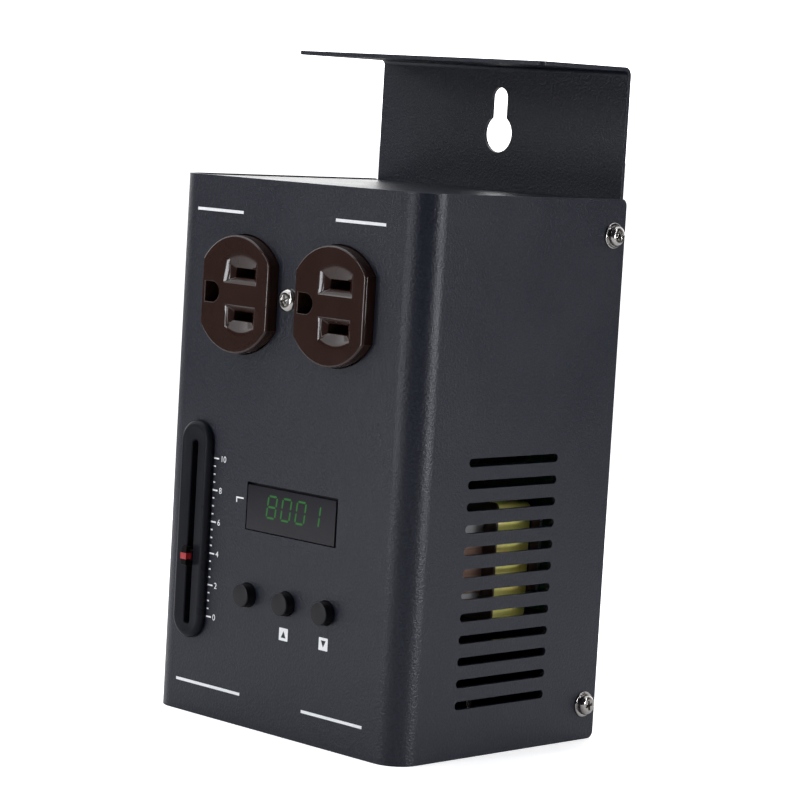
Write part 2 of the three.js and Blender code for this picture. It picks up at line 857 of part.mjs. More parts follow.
// The steel yoke that wraps the outlet's back and ends in an ear at each side.
function outletStrap(rear) {
  const low = outletHeight - strapWidth / 2;
  const high = outletHeight + strapWidth / 2;
  const inner = outletEnd + gap;
  const outer = inner + strapThickness;
  const back = rear + gap;
  const x = outletShift;
  const earRear = insideFront + strapThickness;
  const ears = [-1, 1].flatMap((side) => {
    const tip = x + (side * strapLength) / 2;
    const root = x + side * inner;
    const wall = x + side * outer;
    return [
      block(Math.min(tip, root), Math.max(tip, root), insideFront, earRear, low, high),
      block(Math.min(root, wall), Math.max(root, wall), insideFront, back + strapThickness, low, high),
    ];
  });
  const holes = [-1, 1].map((side) =>
    alongY(
      circle(x + (side * strapHoleSpacing) / 2, outletHeight, strapHoleDiameter),
      insideFront - overrun,
      earRear + overrun,
    ),
  );
  const web = block(x - outer, x + outer, back, back + strapThickness, low, high);
  return cut(join(web, ...ears), ...holes);
}

function outletScrew() {
  const screw = panScrew(
    outletScrewHeadDiameter,
    outletScrewHeadHeight,
    outletScrewHeadDiameter,
    gap,
    outletScrewDiameter,
    outletScrewLength,
  );
  const mesh = add("outlet_screw", screw, nickel);
  mesh.position.set(outletShift, -gap, outletHeight);
  mesh.rotation.z = -0.5 * Math.PI;
}

function displayPieces() {
  const halfW = displayOpeningWidth / 2 - gap;
  const halfH = displayOpeningHeight / 2 - gap;
  const rimRear = insideFront + lensRimThickness;
  const lens = join(
    alongY(
      rectangle(controlX - halfW, controlX + halfW, displayHeight - halfH, displayHeight + halfH),
      lensSetback,
      insideFront + lensRimThickness / 2,
    ),
    alongY(
      rectangle(
        controlX - halfW - lensRim,
        controlX + halfW + lensRim,
        displayHeight - halfH - lensRim,
        displayHeight + halfH + lensRim,
      ),
      insideFront,
      rimRear,
    ),
  );
  add("display_window", lens, darkLens);
  const moduleHalf = ledModuleWidth / 2;
  const moduleRise = ledModuleHeight / 2;
  const ledModule = block(
    controlX - moduleHalf,
    controlX + moduleHalf,
    rimRear + gap,
    controlBoardFront - gap,
    displayHeight - moduleRise,
    displayHeight + moduleRise,
  );
  add("led_display", ledModule, blackPlastic);
}

function controlBoard() {
  const board = alongY(
    rectangle(controlBoardLeft, controlBoardRight, controlBoardLow, controlBoardHigh),
    controlBoardFront,
    controlBoardRear,
  );
  const holes = frontStandoffs.map(([x, z]) =>
    alongY(
      circle(x, z, boardScrewDiameter + 2 * gap),
      controlBoardFront - overrun,
      controlBoardRear + overrun,
    ),
  );
  add("control_board", cut(board, ...holes), boardGreen);
}

// Screws through a board into its standoffs. Their heads face the way the board's open side does.
function boardScrews(prefix, places, seat, facing) {
  const screw = panScrew(
    boardScrewHeadDiameter,
    boardScrewHeadHeight,
    boardScrewHeadDiameter,
    gap,
    boardScrewDiameter,
    boardScrewLength,
  );
  places.forEach(([x, z], i) => {
    const mesh = add(`${prefix}_${i + 1}`, screw, zincSteel);
    mesh.position.set(x, seat + facing * gap, z);
    mesh.rotation.z = facing * 0.5 * Math.PI;
  });
}

function buttons() {
  const collarRear = insideFront + buttonCollarThickness;
  const switchFront = controlBoardFront - gap - switchThickness;
  const switchRear = controlBoardFront - gap;
  const stemEnd = switchRear - switchFloor - gap - buttonTravel;
  const half = switchSize / 2;
  ["menu", "up", "down"].forEach((name, i) => {
    const x = buttonCentres[i];
    const button = join(
      alongY(circle(x, buttonHeight, buttonDiameter), -buttonProud, collarRear, faceSteps),
      alongY(circle(x, buttonHeight, buttonDiameter + 2 * buttonCollar), insideFront, collarRear, faceSteps),
      alongY(circle(x, buttonHeight, buttonStemDiameter), insideFront, stemEnd),
    );
    add(`${name}_button`, button, blackPlastic);
    const body = cut(
      block(x - half, x + half, switchFront, switchRear, buttonHeight - half, buttonHeight + half),
      alongY(
        circle(x, buttonHeight, buttonStemDiameter + 2 * gap),
        switchFront - overrun,
        switchRear - switchFloor,
      ),
    );
    add(`${name}_switch`, body, greyPlastic);
  });
}

// One ring of the bezel's rounded face, drawn in x and z at a depth of its own.
function slotRing(width, low, high, y, steps) {
  const radius = width / 2;
  const points = [];
  for (let i = 0; i <= steps; i++) {
    const angle = (Math.PI * i) / steps;
    const x = faderX + radius * Math.cos(angle);
    points.push(new THREE.Vector3(x, y, high - radius + radius * Math.sin(angle)));
  }
  for (let i = 0; i <= steps; i++) {
    const angle = Math.PI + (Math.PI * i) / steps;
    const x = faderX + radius * Math.cos(angle);
    points.push(new THREE.Vector3(x, y, low + radius + radius * Math.sin(angle)));
  }
  return points;
}

// The raised trim round the fader's slot, with a rounded rim that dips towards the slot.
function faderBezel() {
  const steps = roundSteps;
  const roundShares = [0, 0.35, 0.7, 1];
  const base = -gap;
  const rings = roundShares.map((share) => {
    const inset = bezelRound * (1 - Math.cos(0.5 * Math.PI * share));
    const rise = bezelCrest - bezelRound + bezelRound * Math.sin(0.5 * Math.PI * share);
    return slotRing(bezelWidth - 2 * inset, bezelLow + inset, bezelHigh - inset, -rise, steps);
  });
  rings.unshift(slotRing(bezelWidth, bezelLow, bezelHigh, base, steps));
  let body = null;
  for (let i = 0; i + 1 < rings.length; i++) {
    const layer = loft(rings[i + 1], rings[i]);
    body = body ? body.add(layer) : layer;
  }
  const dish = loft(
    slotRing(
      bezelWidth - 2 * bezelRound,
      bezelLow + bezelRound,
      bezelHigh - bezelRound,
      -bezelCrest - skim,
      steps,
    ),
    slotRing(faderSlotWidth, faderSlotLow, faderSlotHigh, -bezelDish, steps),
  );
  const spigot = alongY(
    uprightSlot(
      faderX,
      bezelLow + bezelSpigotInset,
      bezelHigh - bezelSpigotInset,
      bezelWidth - 2 * bezelSpigotInset,
    ),
    base - gap,
    faderBodyFront - gap,
    roundSteps / 2,
  );
  const slot = alongY(
    uprightSlot(faderX, faderSlotLow, faderSlotHigh, faderSlotWidth),
    -bezelCrest - overrun,
    faderBodyFront + overrun,
  );
  return cut(join(body, spigot), dish, slot);
}

function fader() {
  add("fader_bezel", faderBezel(), blackPlastic);
  const half = faderBodyWidth / 2;
  const low = faderMiddle - faderBodyLength / 2;
  const high = faderMiddle + faderBodyLength / 2;
  const rear = controlBoardFront - gap;
  const wall = faderCanWall;
  const can = cut(
    block(faderX - half, faderX + half, faderBodyFront, rear, low, high),
    block(
      faderX - half + wall,
      faderX + half - wall,
      faderBodyFront + wall,
      rear - wall,
      low + wall,
      high - wall,
    ),
    alongY(
      uprightSlot(faderX, faderSlotLow, faderSlotHigh, faderSlotWidth),
      faderBodyFront - overrun,
      faderBodyFront + wall + overrun / 2,
    ),
  );
  add("fader_body", can, zincSteel);
  const capFront = -faderCapProud;
  const capRear = -bezelDish - gap;
  const capHalf = faderCapWidth / 2;
  const pocketHalf = capHalf - faderCapWall;
  const leverHalf = pocketHalf - gap;
  const leverRise = faderLeverLength / 2;
  const leverTip = capFront + faderCapWall + gap;
  const carriageHalf = half - wall - gap;
  const carriageRise = faderCarriageLength / 2;
  const z = faderHeight;
  const carriageFront = faderBodyFront + wall + gap;
  const lever = join(
    block(
      faderX - leverHalf,
      faderX + leverHalf,
      leverTip,
      carriageFront + wall,
      z - leverRise,
      z + leverRise,
    ),
    block(
      faderX - carriageHalf,
      faderX + carriageHalf,
      carriageFront,
      rear - wall - gap,
      z - carriageRise,
      z + carriageRise,
    ),
  );
  add("fader_lever", lever, zincSteel);
  const capRise = faderCapLength / 2;
  const cap = cut(
    block(faderX - capHalf, faderX + capHalf, capFront, capRear, z - capRise, z + capRise),
    block(
      faderX - pocketHalf,
      faderX + pocketHalf,
      capFront + faderCapWall,
      capRear + overrun,
      z - leverRise - gap,
      z + leverRise + gap,
    ),
  );
  add("fader_cap", cap, capMark);
}

function powerBoard() {
  const half = powerBoardWidth / 2;
  const board = alongY(
    rectangle(-half, half, powerBoardLow, powerBoardHigh),
    powerBoardFront,
    powerBoardRear,
  );
  const holes = powerStandoffs.map(([x, z]) =>
    alongY(circle(x, z, boardScrewDiameter + 2 * gap), powerBoardFront - overrun, powerBoardRear + overrun),
  );
  add("power_board", cut(board, ...holes), boardGreen);
}

// A laminated ring with a taped winding on each of its two legs, clamped to the power board.
function transformer() {
  const clampRear = powerBoardFront - gap;
  const coreRear = clampRear - clampSheet - gap;
  const windowRear = coreRear - coreLeg;
  const windowFront = windowRear - coreWindowLength;
  const coreFront = windowFront - coreLeg;
  const coreLeft = coreRight - 2 * coreLeg - coreWindowWidth;
  const coreHigh = coreLow + coreStack;
  const core = cut(
    block(coreLeft, coreRight, coreFront, coreRear, coreLow, coreHigh),
    block(
      coreLeft + coreLeg,
      coreRight - coreLeg,
      windowFront,
      windowRear,
      coreLow - overrun,
      coreHigh + overrun,
    ),
  );
  add("transformer_core", core, coreSteel);
  const legs = [
    ["near_winding", coreRight - coreLeg],
    ["far_winding", coreLeft],
  ];
  for (const [name, legLeft] of legs) {
    const outline = roundedRectangle(
      legLeft - windingBuild,
      legLeft + coreLeg + windingBuild,
      coreLow - windingBuild,
      coreHigh + windingBuild,
      windingCorner,
    );
    outline.holes.push(
      rectangle(legLeft - gap, legLeft + coreLeg + gap, coreLow - gap, coreHigh + gap),
    );
    add(name, alongY(outline, windowFront + gap, windowRear - gap), tapeYellow);
  }
  const clampHigh = coreHigh + gap + clampSheet;
  const clampLow = coreLow - gap - clampSheet;
  const clamp = cut(
    block(coreLeft, coreRight, windowRear + gap, clampRear, clampLow, clampHigh),
    block(
      coreLeft - overrun,
      coreRight + overrun,
      windowRear - overrun,
      clampRear - clampSheet,
      coreLow - gap,
      coreHigh + gap,
    ),
  );
  add("transformer_clamp", clamp, zincSteel);
}

function powerParts() {
  const seat = powerBoardFront - gap;
  const baseLeft = heatsinkLeft + heatsinkWidth - heatsinkBase;
  const sinkHigh = heatsinkLow + heatsinkLength;
  const sinkFront = seat - heatsinkDepth;
  const base = block(baseLeft, baseLeft + heatsinkBase, sinkFront, seat, heatsinkLow, sinkHigh);
  const finPitch = (heatsinkDepth - heatsinkFin) / (heatsinkFinCount - 1);
  const fins = [];
  for (let i = 0; i < heatsinkFinCount; i++) {
    const front = sinkFront + i * finPitch;
    const right = baseLeft + heatsinkBase / 2;
    fins.push(block(heatsinkLeft, right, front, front + heatsinkFin, heatsinkLow, sinkHigh));
  }
  add("heatsink", join(base, ...fins), aluminium);

  const triacLeft = baseLeft + heatsinkBase + gap;
  const triacRear = seat - triacLeadLength;
  const triacMiddle = triacLeft + triacThickness / 2;
  const body = block(
    triacLeft,
    triacLeft + triacThickness,
    triacRear - triacLength,
    triacRear,
    triacLow,
    triacLow + triacWidth,
  );
  const leads = [-1, 0, 1].map((place) => {
    const z = triacLow + triacWidth / 2 + place * triacLeadPitch;
    const half = triacLeadWidth / 2;
    return block(triacMiddle - half, triacMiddle + half, triacRear - half, seat, z - half, z + half);
  });
  add("triac", join(body, ...leads), blackPlastic);

  const ring = circle(chokeX, chokeHeight, chokeDiameter);
  ring.holes.push(circle(chokeX, chokeHeight, chokeHoleDiameter));
  add("suppression_choke", alongY(ring, seat - chokeThickness, seat, roundSteps), copperRed);

  const can = circle(capacitorX, capacitorHeight, capacitorDiameter);
  add("supply_capacitor", alongY(can, seat - capacitorLength, seat, roundSteps / 2), blackPlastic);

  const terminalRight = terminalLeft + terminalWidth;
  const terminalHigh = terminalLow + terminalSize;
  const holes = wireRoutes().map(({ end }) =>
    alongZ(circle(end.x, end.y, wireDiameter + 2 * gap), terminalLow - overrun, end.z + gap),
  );
  const terminal = block(terminalLeft, terminalRight, seat - terminalSize, seat, terminalLow, terminalHigh);
  add("terminal_block", cut(terminal, ...holes), terminalGreen);
}

// The flat cable between the two boards, in one low arch.
function ribbonCable() {
  const front = controlBoardRear + gap;
  const rear = powerBoardFront - gap;
  const steps = roundSteps;
  const top = [];
  const under = [];
  for (let i = 0; i <= steps; i++) {
    const share = i / steps;
    const y = front + share * (rear - front);
    const z = ribbonHeight + ribbonRise * Math.sin(share * Math.PI);
    top.push(new THREE.Vector2(y, z + ribbonThickness));
    under.unshift(new THREE.Vector2(y, z));
  }
  const strip = new THREE.Shape([...top, ...under]);
  add("ribbon_cable", alongX(strip, ribbonLeft, ribbonLeft + ribbonWidth), greyPlastic);
}

// Each wire leaves sideways from the top of an inlet tab and ends in a hole under the terminal block.
function wireRoutes() {
  const tabTop = flangeHigh + inletBodyHeight + inletTabHeight;
  const tabY = inletRecessMiddle() + inletPinShift;
  const third = terminalWidth / 3;
  const holeY = powerBoardFront - gap - terminalSize / 2;
  return [-1, 1].map((side, i) => ({
    name: side < 0 ? "line_wire" : "neutral_wire",
    start: new THREE.Vector3(side * inletPinPitch, tabY, tabTop + gap + wireDiameter / 2),
    end: new THREE.Vector3(terminalLeft + (i + 1) * third, holeY, terminalLow + terminalSize / 2),
  }));
}

function wires() {
  for (const { name, start, end } of wireRoutes()) {
    const side = start.clone().sub(new THREE.Vector3(wireLead, 0, 0));
    const entry = end.clone().sub(new THREE.Vector3(0, 0, wireLead));
    const below = entry.clone().sub(new THREE.Vector3(0, 0, wireLead));
    const route = new THREE.CurvePath();
    route.add(new THREE.CubicBezierCurve3(start, side, below, entry));
    route.add(new THREE.LineCurve3(entry, end));
    const options = { steps: wireSteps, curveSegments: arcSteps, extrudePath: route };
    add(name, solid(new THREE.ExtrudeGeometry(circle(0, 0, wireDiameter), options)), blackPlastic);
  }
}

function inletRecessMiddle() {
  return inletY - inletBodyDepth / 2 + inletWall + inletRecessDepth / 2;
}

function recessOutline() {
  const half = inletRecessWidth / 2;
  const front = inletRecessMiddle() - inletRecessDepth / 2;
  const rear = front + inletRecessDepth;
  const shape = new THREE.Shape();
  shape.moveTo(-half, rear);
  shape.lineTo(-half, front + inletRecessChamfer);
  shape.lineTo(-half + inletRecessChamfer, front);
  shape.lineTo(half - inletRecessChamfer, front);
  shape.lineTo(half, front + inletRecessChamfer);
  shape.lineTo(half, rear);
  return shape;
}

function drawerPlace() {
  const rear = inletY + inletBodyDepth / 2 - inletWall - gap;
  return { front: rear - drawerDepth, rear };
}

function powerInlet() {
  const bodyHalf = inletBodyWidth / 2;
  const high = flangeHigh + inletBodyHeight;
  const flangeHalf = inletFlangeWidth / 2;
  const middle = inletRecessMiddle();
  const recessTop = flangeLow + inletRecessHeight;
  const flange = alongZ(
    roundedRectangle(
      -flangeHalf,
      flangeHalf,
      inletY - inletFlangeDepth / 2,
      inletY + inletFlangeDepth / 2,
      connectorFlangeCorner,
    ),
    flangeLow,
    flangeHigh,
  );
  const body = block(
    -bodyHalf,
    bodyHalf,
    inletY - inletBodyDepth / 2,
    inletY + inletBodyDepth / 2,
    flangeLow + flangeThickness / 2,
    high,
  );
  const recess = alongZ(recessOutline(), flangeLow - overrun, recessTop);
  const drawer = drawerPlace();
  const bayHalf = drawerWidth / 2 + gap;
  const bay = block(
    -bayHalf,
    bayHalf,
    drawer.front - gap,
    drawer.rear + gap,
    flangeLow - overrun,
    flangeLow + drawerHeight + gap,
  );
  const screwHoles = [-1, 1].map((side) =>
    alongZ(
      circle((side * inletScrewSpacing) / 2, inletY, bottomScrewDiameter + 2 * gap),
      flangeLow - overrun,
      flangeHigh + overrun,
    ),
  );
  const pins = [-1, 0, 1].map((place) => {
    const x = place * inletPinPitch;
    const y = middle + (place === 0 ? -1 : 1) * inletPinShift;
    const halfW = inletPinWidth / 2;
    const halfD = inletPinDepth / 2;
    const tab = inletTabThickness / 2;
    return join(
      block(x - halfW, x + halfW, y - halfD, y + halfD, flangeLow + inletPinRecess, recessTop + overrun),
      block(x - tab, x + tab, y - halfD, y + halfD, high - overrun, high + inletTabHeight),
    );
  });
  return join(cut(join(flange, body), recess, bay, ...screwHoles), ...pins);
}

function fuseDrawer() {
  const half = drawerWidth / 2;
  const place = drawerPlace();
  const faceHigh = flangeLow - gap;
  const faceLow = faceHigh - drawerFaceThickness;
  const trayLow = faceHigh + drawerTrayHeight - gap;
  const trayHigh = trayLow + fuseDiameter + 2 * gap;
  const trayHalf = fuseLength / 2 + gap;
  const drawer = cut(
    join(
      block(-half, half, place.front, place.rear, faceLow, faceHigh + drawerHeight),
      block(
        -half - drawerFaceRim,
        half + drawerFaceRim,
        place.front - drawerFaceRim,
        place.rear + drawerFaceRim,
        faceLow,
        faceHigh,
      ),
    ),
    block(-trayHalf, trayHalf, place.front - overrun, place.rear - contactSheet, trayLow, trayHigh),
  );
  add("fuse_drawer", drawer, blackPlastic);
  const capRadius = fuseDiameter / 2;
  const glassRadius = fuseGlassDiameter / 2;
  const end = fuseLength / 2;
  const shoulder = end - fuseCapLength;
  const fuse = turned(
    [
      [0, -end],
      [capRadius, -end],
      [capRadius, -shoulder],
      [glassRadius, -shoulder],
      [glassRadius, shoulder],
      [capRadius, shoulder],
      [capRadius, end],
      [0, end],
    ],
    roundSteps,
  );
  const mesh = add("fuse", fuse, glass);
  const rest = place.rear - contactSheet - gap - capRadius;
  mesh.position.set(0, rest, trayLow + gap + capRadius);
}

// The flange and barrel that both control connectors share.
function connectorShell(x) {
  const halfW = connectorFlangeWidth / 2;
  const halfD = connectorFlangeDepth / 2;
  const outline = roundedRectangle(
    x - halfW,
    x + halfW,
    connectorY - halfD,
    connectorY + halfD,
    connectorFlangeCorner,
  );
  const screwHoles = [1, -1].map((side) =>
    alongZ(
      circle(
        x - side * connectorScrewX,
        connectorY + side * connectorScrewY,
        bottomScrewDiameter + 2 * gap,
      ),
      flangeLow - overrun,
      flangeHigh + overrun,
    ),
  );
  const barrel = alongZ(
    circle(x, connectorY, connectorBarrelDiameter),
    flangeLow + flangeThickness / 2,
    flangeHigh + connectorBarrelHeight,
    roundSteps,
  );
  return cut(join(alongZ(outline, flangeLow, flangeHigh), barrel), ...screwHoles);
}

function pinPlaces(x) {
  const radius = connectorPinCircle / 2;
  return [0, 1, 2].map((i) => {
    const angle = (i / 3) * 2 * Math.PI + 0.5 * Math.PI;
    return [x + radius * Math.cos(angle), connectorY + radius * Math.sin(angle)];
  });
}

function controlInput() {
  const x = -connectorX;
  const floor = flangeLow + connectorBoreDepth;
  const bore = alongZ(
    circle(x, connectorY, connectorBoreDiameter),
    flangeLow - overrun,
    floor,
    roundSteps,
  );
  const pins = pinPlaces(x).map(([px, py]) =>
    alongZ(circle(px, py, connectorPinDiameter), flangeLow + connectorPinRecess, floor + overrun),
  );
  add("control_input", join(cut(connectorShell(x), bore), ...pins), nickel);
}

function controlOutput() {
  const x = connectorX;
  const floor = flangeLow + connectorBoreDepth;
  const ring = circle(x, connectorY, connectorBoreDiameter);
  ring.holes.push(circle(x, connectorY, connectorInsertDiameter));
  const groove = alongZ(ring, flangeLow - overrun, floor, roundSteps);
  const sockets = pinPlaces(x).map(([px, py]) =>
    alongZ(circle(px, py, connectorSocketDiameter), flangeLow - overrun, floor),
  );
  const latch = latchPlace();
  const half = latchWidth / 2;
  const window = block(
    x - half - gap,
    x + half + gap,
    latch.front - gap,
    latch.rear + gap,
    flangeLow - overrun,
    flangeHigh + overrun,
  );
  add("control_output", cut(connectorShell(x), groove, ...sockets, window), nickel);
  const tab = block(
    x - half,
    x + half,
    latch.front,
    latch.rear,
    flangeLow - latchProud,
    flangeLow - latchProud + latchHeight,
  );
  add("release_latch", tab, zincSteel);
}

function bottomScrews() {
  const screw = panScrew(
    bottomScrewHeadDiameter,
    bottomScrewHeadHeight,
    bottomScrewHeadDiameter,
    gap,
    bottomScrewDiameter,
    bottomScrewLength,
  );
  const names = ["inlet_screw_left", "inlet_screw_right", "input_screw_rear", "input_screw_front"];
  names.push("output_screw_rear", "output_screw_front");
  bottomScrewPlaces().forEach(([x, y], i) => {
    const mesh = add(names[i], screw, zincSteel);
    mesh.position.set(x, y, flangeLow - gap);
    mesh.rotation.y = 0.5 * Math.PI;
  });
}

add("front_cover", frontCover(), casePaint);
add("rear_chassis", rearChassis(), casePaint);
add("top_panel", topPanel(), casePaint);
coverScrews();
add("outlet_body", outletBody(), brownPlastic);
add("outlet_strap", outletStrap(outletInside()), zincSteel);
outletScrew();
displayPieces();
controlBoard();
boardScrews("control_board_screw", frontStandoffs, controlBoardRear, 1);
buttons();
fader();
powerBoard();
boardScrews("power_board_screw", powerStandoffs, powerBoardFront, -1);
transformer();
powerParts();
ribbonCable();
wires();
add("power_inlet", powerInlet(), blackPlastic);
fuseDrawer();
controlInput();
controlOutput();
bottomScrews();

// The origin is on the floor under the middle of the whole pack.
const frontmost = Math.max(outletProud, faderCapProud, buttonProud);
pack.position.y = -(caseDepth - frontmost) / 2;

const dimmerPack = new THREE.Group();
dimmerPack.add(pack);

export default dimmerPack;
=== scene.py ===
# %% [markdown]
# # A dimmer pack for stage lights
#
# The object is a folded steel case with a duplex mains outlet, a slide fader, a small display and
# three push buttons. It hangs from a wall screw or a rail by the plate that stands up behind it.
# The engineering model already fixes every size and every place, so this script only dresses it:
# it loads that model as a fixed frame, builds finer shapes over it, and gives each surface a finish.

import math

import bmesh
import bpy
from mathutils import Matrix, Quaternion, Vector


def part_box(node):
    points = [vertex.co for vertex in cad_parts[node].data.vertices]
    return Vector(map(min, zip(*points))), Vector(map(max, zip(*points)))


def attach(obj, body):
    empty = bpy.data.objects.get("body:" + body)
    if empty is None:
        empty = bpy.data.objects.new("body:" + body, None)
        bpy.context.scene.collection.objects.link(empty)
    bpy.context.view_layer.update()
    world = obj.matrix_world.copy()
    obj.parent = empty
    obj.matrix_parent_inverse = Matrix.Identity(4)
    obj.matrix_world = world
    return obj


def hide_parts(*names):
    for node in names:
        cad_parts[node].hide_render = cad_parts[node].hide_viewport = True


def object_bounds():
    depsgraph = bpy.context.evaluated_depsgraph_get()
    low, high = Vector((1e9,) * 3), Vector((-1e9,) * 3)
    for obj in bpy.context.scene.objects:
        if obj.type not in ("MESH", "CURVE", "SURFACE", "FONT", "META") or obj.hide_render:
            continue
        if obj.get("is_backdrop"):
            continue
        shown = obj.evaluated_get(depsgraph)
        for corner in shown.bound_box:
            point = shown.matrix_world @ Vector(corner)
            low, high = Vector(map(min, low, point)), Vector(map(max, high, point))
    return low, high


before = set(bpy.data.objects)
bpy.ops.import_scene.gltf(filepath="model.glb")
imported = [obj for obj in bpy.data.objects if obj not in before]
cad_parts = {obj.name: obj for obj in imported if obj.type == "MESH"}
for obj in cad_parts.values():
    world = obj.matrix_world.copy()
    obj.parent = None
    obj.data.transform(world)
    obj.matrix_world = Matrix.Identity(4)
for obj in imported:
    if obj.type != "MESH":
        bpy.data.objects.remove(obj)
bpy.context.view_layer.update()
MM = 0.001
print("nodes:", len(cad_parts))

# %% [markdown]
# ## The camera
#
# The camera stands where the photographer's did. Its place was worked out from the edges of the
# case, so it is written as a real position, two angles and a slight roll. A long lens from almost
# a metre away keeps the case's upright edges nearly parallel, as they are in the photograph.

# %% Camera
CAMERA_PLACE = Vector((612.25, -607.78, 179.79)) * MM
CAMERA_AZIMUTH = math.radians(44.89)
CAMERA_HEIGHT_ANGLE = math.radians(5.66)
CAMERA_ROLL = math.radians(3.353)
LENS_LENGTH = 135.1
SENSOR_WIDTH = 36


def add_camera():
    data = bpy.data.cameras.new("camera")
    data.lens = LENS_LENGTH
    data.sensor_width = SENSOR_WIDTH
    data.clip_start = 10 * MM
    data.clip_end = 20
    camera = bpy.data.objects.new("camera", data)
    bpy.context.scene.collection.objects.link(camera)
    level = math.cos(CAMERA_HEIGHT_ANGLE)
    right, front = math.sin(CAMERA_AZIMUTH) * level, -math.cos(CAMERA_AZIMUTH) * level
    back = Vector((right, front, math.sin(CAMERA_HEIGHT_ANGLE)))
    camera.location = CAMERA_PLACE
    camera.rotation_mode = "QUATERNION"
    roll = Quaternion((0, 0, 1), CAMERA_ROLL)
    camera.rotation_quaternion = back.to_track_quat("Z", "Y") @ roll
    bpy.context.scene.camera = camera
    return camera


print("camera at", [round(v, 3) for v in add_camera().location])

# %% [markdown]
# ## A finish from nodes
#
# Every finish here is a Principled shader with a few procedural nodes round it: one noise shifts the
# colour a little, one moves the roughness, and one or two raise a fine bump. Small helpers keep
# each recipe short. All of them read Object coordinates, which are metres in the frame, so a grain
# size is the same on every piece and nothing stretches.

# %% Helpers for nodes
def new_finish(name, color, roughness, metallic=0.0):
    """A new material and its Principled shader."""
    material = bpy.data.materials.new(name)
    material.use_nodes = True
    shader = material.node_tree.nodes["Principled BSDF"]
    shader.inputs["Base Color"].default_value = (*color, 1)
    shader.inputs["Roughness"].default_value = roughness
    shader.inputs["Metallic"].default_value = metallic
    material.diffuse_color = (*color, 1)
    return material, shader


def add_node(material, kind, **settings):
    node = material.node_tree.nodes.new(kind)
    for name, value in settings.items():
        setattr(node, name, value)
    return node


def link(material, source, target):
    material.node_tree.links.new(source, target)


def object_coordinates(material, stretch=(1, 1, 1)):
    coordinates = add_node(material, "ShaderNodeTexCoord")
    mapping = add_node(material, "ShaderNodeMapping")
    mapping.inputs["Scale"].default_value = stretch
    link(material, coordinates.outputs["Object"], mapping.inputs["Vector"])
    return mapping.outputs["Vector"]


def noise(material, vector, grain, detail=2.0, roughness=0.5):
    """Noise whose patches are about one grain across."""
    node = add_node(material, "ShaderNodeTexNoise")
    node.inputs["Scale"].default_value = 1 / grain
    node.inputs["Detail"].default_value = detail
    node.inputs["Roughness"].default_value = roughness
    link(material, vector, node.inputs["Vector"])
    return node.outputs["Fac"]


print("node helpers ready")

# %% Helpers for colour, roughness and bumps
def spread(material, value, low, high, start=0.3, end=0.7):
    """Turns a value that runs from start to end into one that runs from low to high."""
    node = add_node(material, "ShaderNodeMapRange")
    node.inputs["From Min"].default_value = start
    node.inputs["From Max"].default_value = end
    node.inputs["To Min"].default_value = low
    node.inputs["To Max"].default_value = high
    link(material, value, node.inputs["Value"])
    return node.outputs["Result"]


def blend_colors(material, factor, first, second):
    node = add_node(material, "ShaderNodeMix", data_type="RGBA")
    node.inputs["A"].default_value = (*first, 1)
    node.inputs["B"].default_value = (*second, 1)
    link(material, factor, node.inputs["Factor"])
    return node.outputs["Result"]


def vary_color(material, shader, factor, first, second):
    link(material, blend_colors(material, factor, first, second), shader.inputs["Base Color"])


def vary_roughness(material, shader, value, low, high):
    link(material, spread(material, value, low, high), shader.inputs["Roughness"])


def bump(material, shader, height, depth, strength=1.0, below=None):
    """Raises the surface by a height. A second bump is laid on the one below."""
    node = add_node(material, "ShaderNodeBump")
    node.inputs["Distance"].default_value = depth
    node.inputs["Strength"].default_value = strength
    link(material, height, node.inputs["Height"])
    if below is not None:
        link(material, below, node.inputs["Normal"])
    link(material, node.outputs["Normal"], shader.inputs["Normal"])
    return node.outputs["Normal"]


print("finish helpers ready")

# %% [markdown]
# ## Powder coat
#
# The case is steel with a dark blue-grey powder coat. Powder melts into a skin that is never quite
# flat: it has a fine grain, like very fine leather, a slight wave over a few millimetres, and a gloss
# that drifts over a couple of centimetres. Two bumps are stacked for the wave and the grain, and the
# colour is painted darker in the hollows of the grain than on its tops, as painted shade.

# %% Powder coat
COAT_HOLLOW_SHADE = (0.006, 0.007, 0.012)
COAT_LIGHT = (0.013, 0.015, 0.024)
COAT_GRAIN = 0.75 * MM
COAT_WAVE = 2.6 * MM
COAT_PATCH = 22 * MM
COAT_SHINE = 0.28
GRAIN_DEPTH = 0.13 * MM
WAVE_DEPTH = 0.03 * MM


def powder_coat():
    material, shader = new_finish("powder_coat", COAT_LIGHT, 0.5)
    vector = object_coordinates(material)
    patch = noise(material, vector, COAT_PATCH)
    wave = noise(material, vector, COAT_WAVE)
    grain = noise(material, vector, COAT_GRAIN, detail=3, roughness=0.6)
    # The grain also sets the colour, darker in its hollows: painted shade.
    vary_color(material, shader, spread(material, grain, 0, 1), COAT_HOLLOW_SHADE, COAT_LIGHT)
    vary_roughness(material, shader, patch, 0.32, 0.38)
    shader.inputs["Specular IOR Level"].default_value = COAT_SHINE
    wavy = bump(material, shader, wave, WAVE_DEPTH, strength=0.35)
    bump(material, shader, grain, GRAIN_DEPTH, below=wavy)
    return material


POWDER_COAT = powder_coat()
print("finish:", POWDER_COAT.name)

# %% [markdown]
# ## Shapes from outlines
#
# Nearly every piece of this object is an outline with some depth: a sheet with holes, a trim that
# runs round a slot, a round button. So two helpers do most of the modelling. One fills a set of
# outlines with a flat face, holes left open, and extrudes it into a plate. The other bridges a row
# of outlines, each at its own depth, which gives any rounded rim.
# An outline is a list of points in two of the axes, and its round stretches come from one formula.

# %% Outlines
ROUND_STEPS = 48
QUARTER_TURN = math.tau / 4


def arc(u, v, radius, start, end, steps):
    """Points on an arc, with both its ends. Angles are in turns."""
    angles = [(start + (end - start) * i / steps) * math.tau for i in range(steps + 1)]
    return [(u + radius * math.cos(a), v + radius * math.sin(a)) for a in angles]


def circle(u, v, diameter):
    return arc(u, v, diameter / 2, 0, 1, ROUND_STEPS)[:-1]


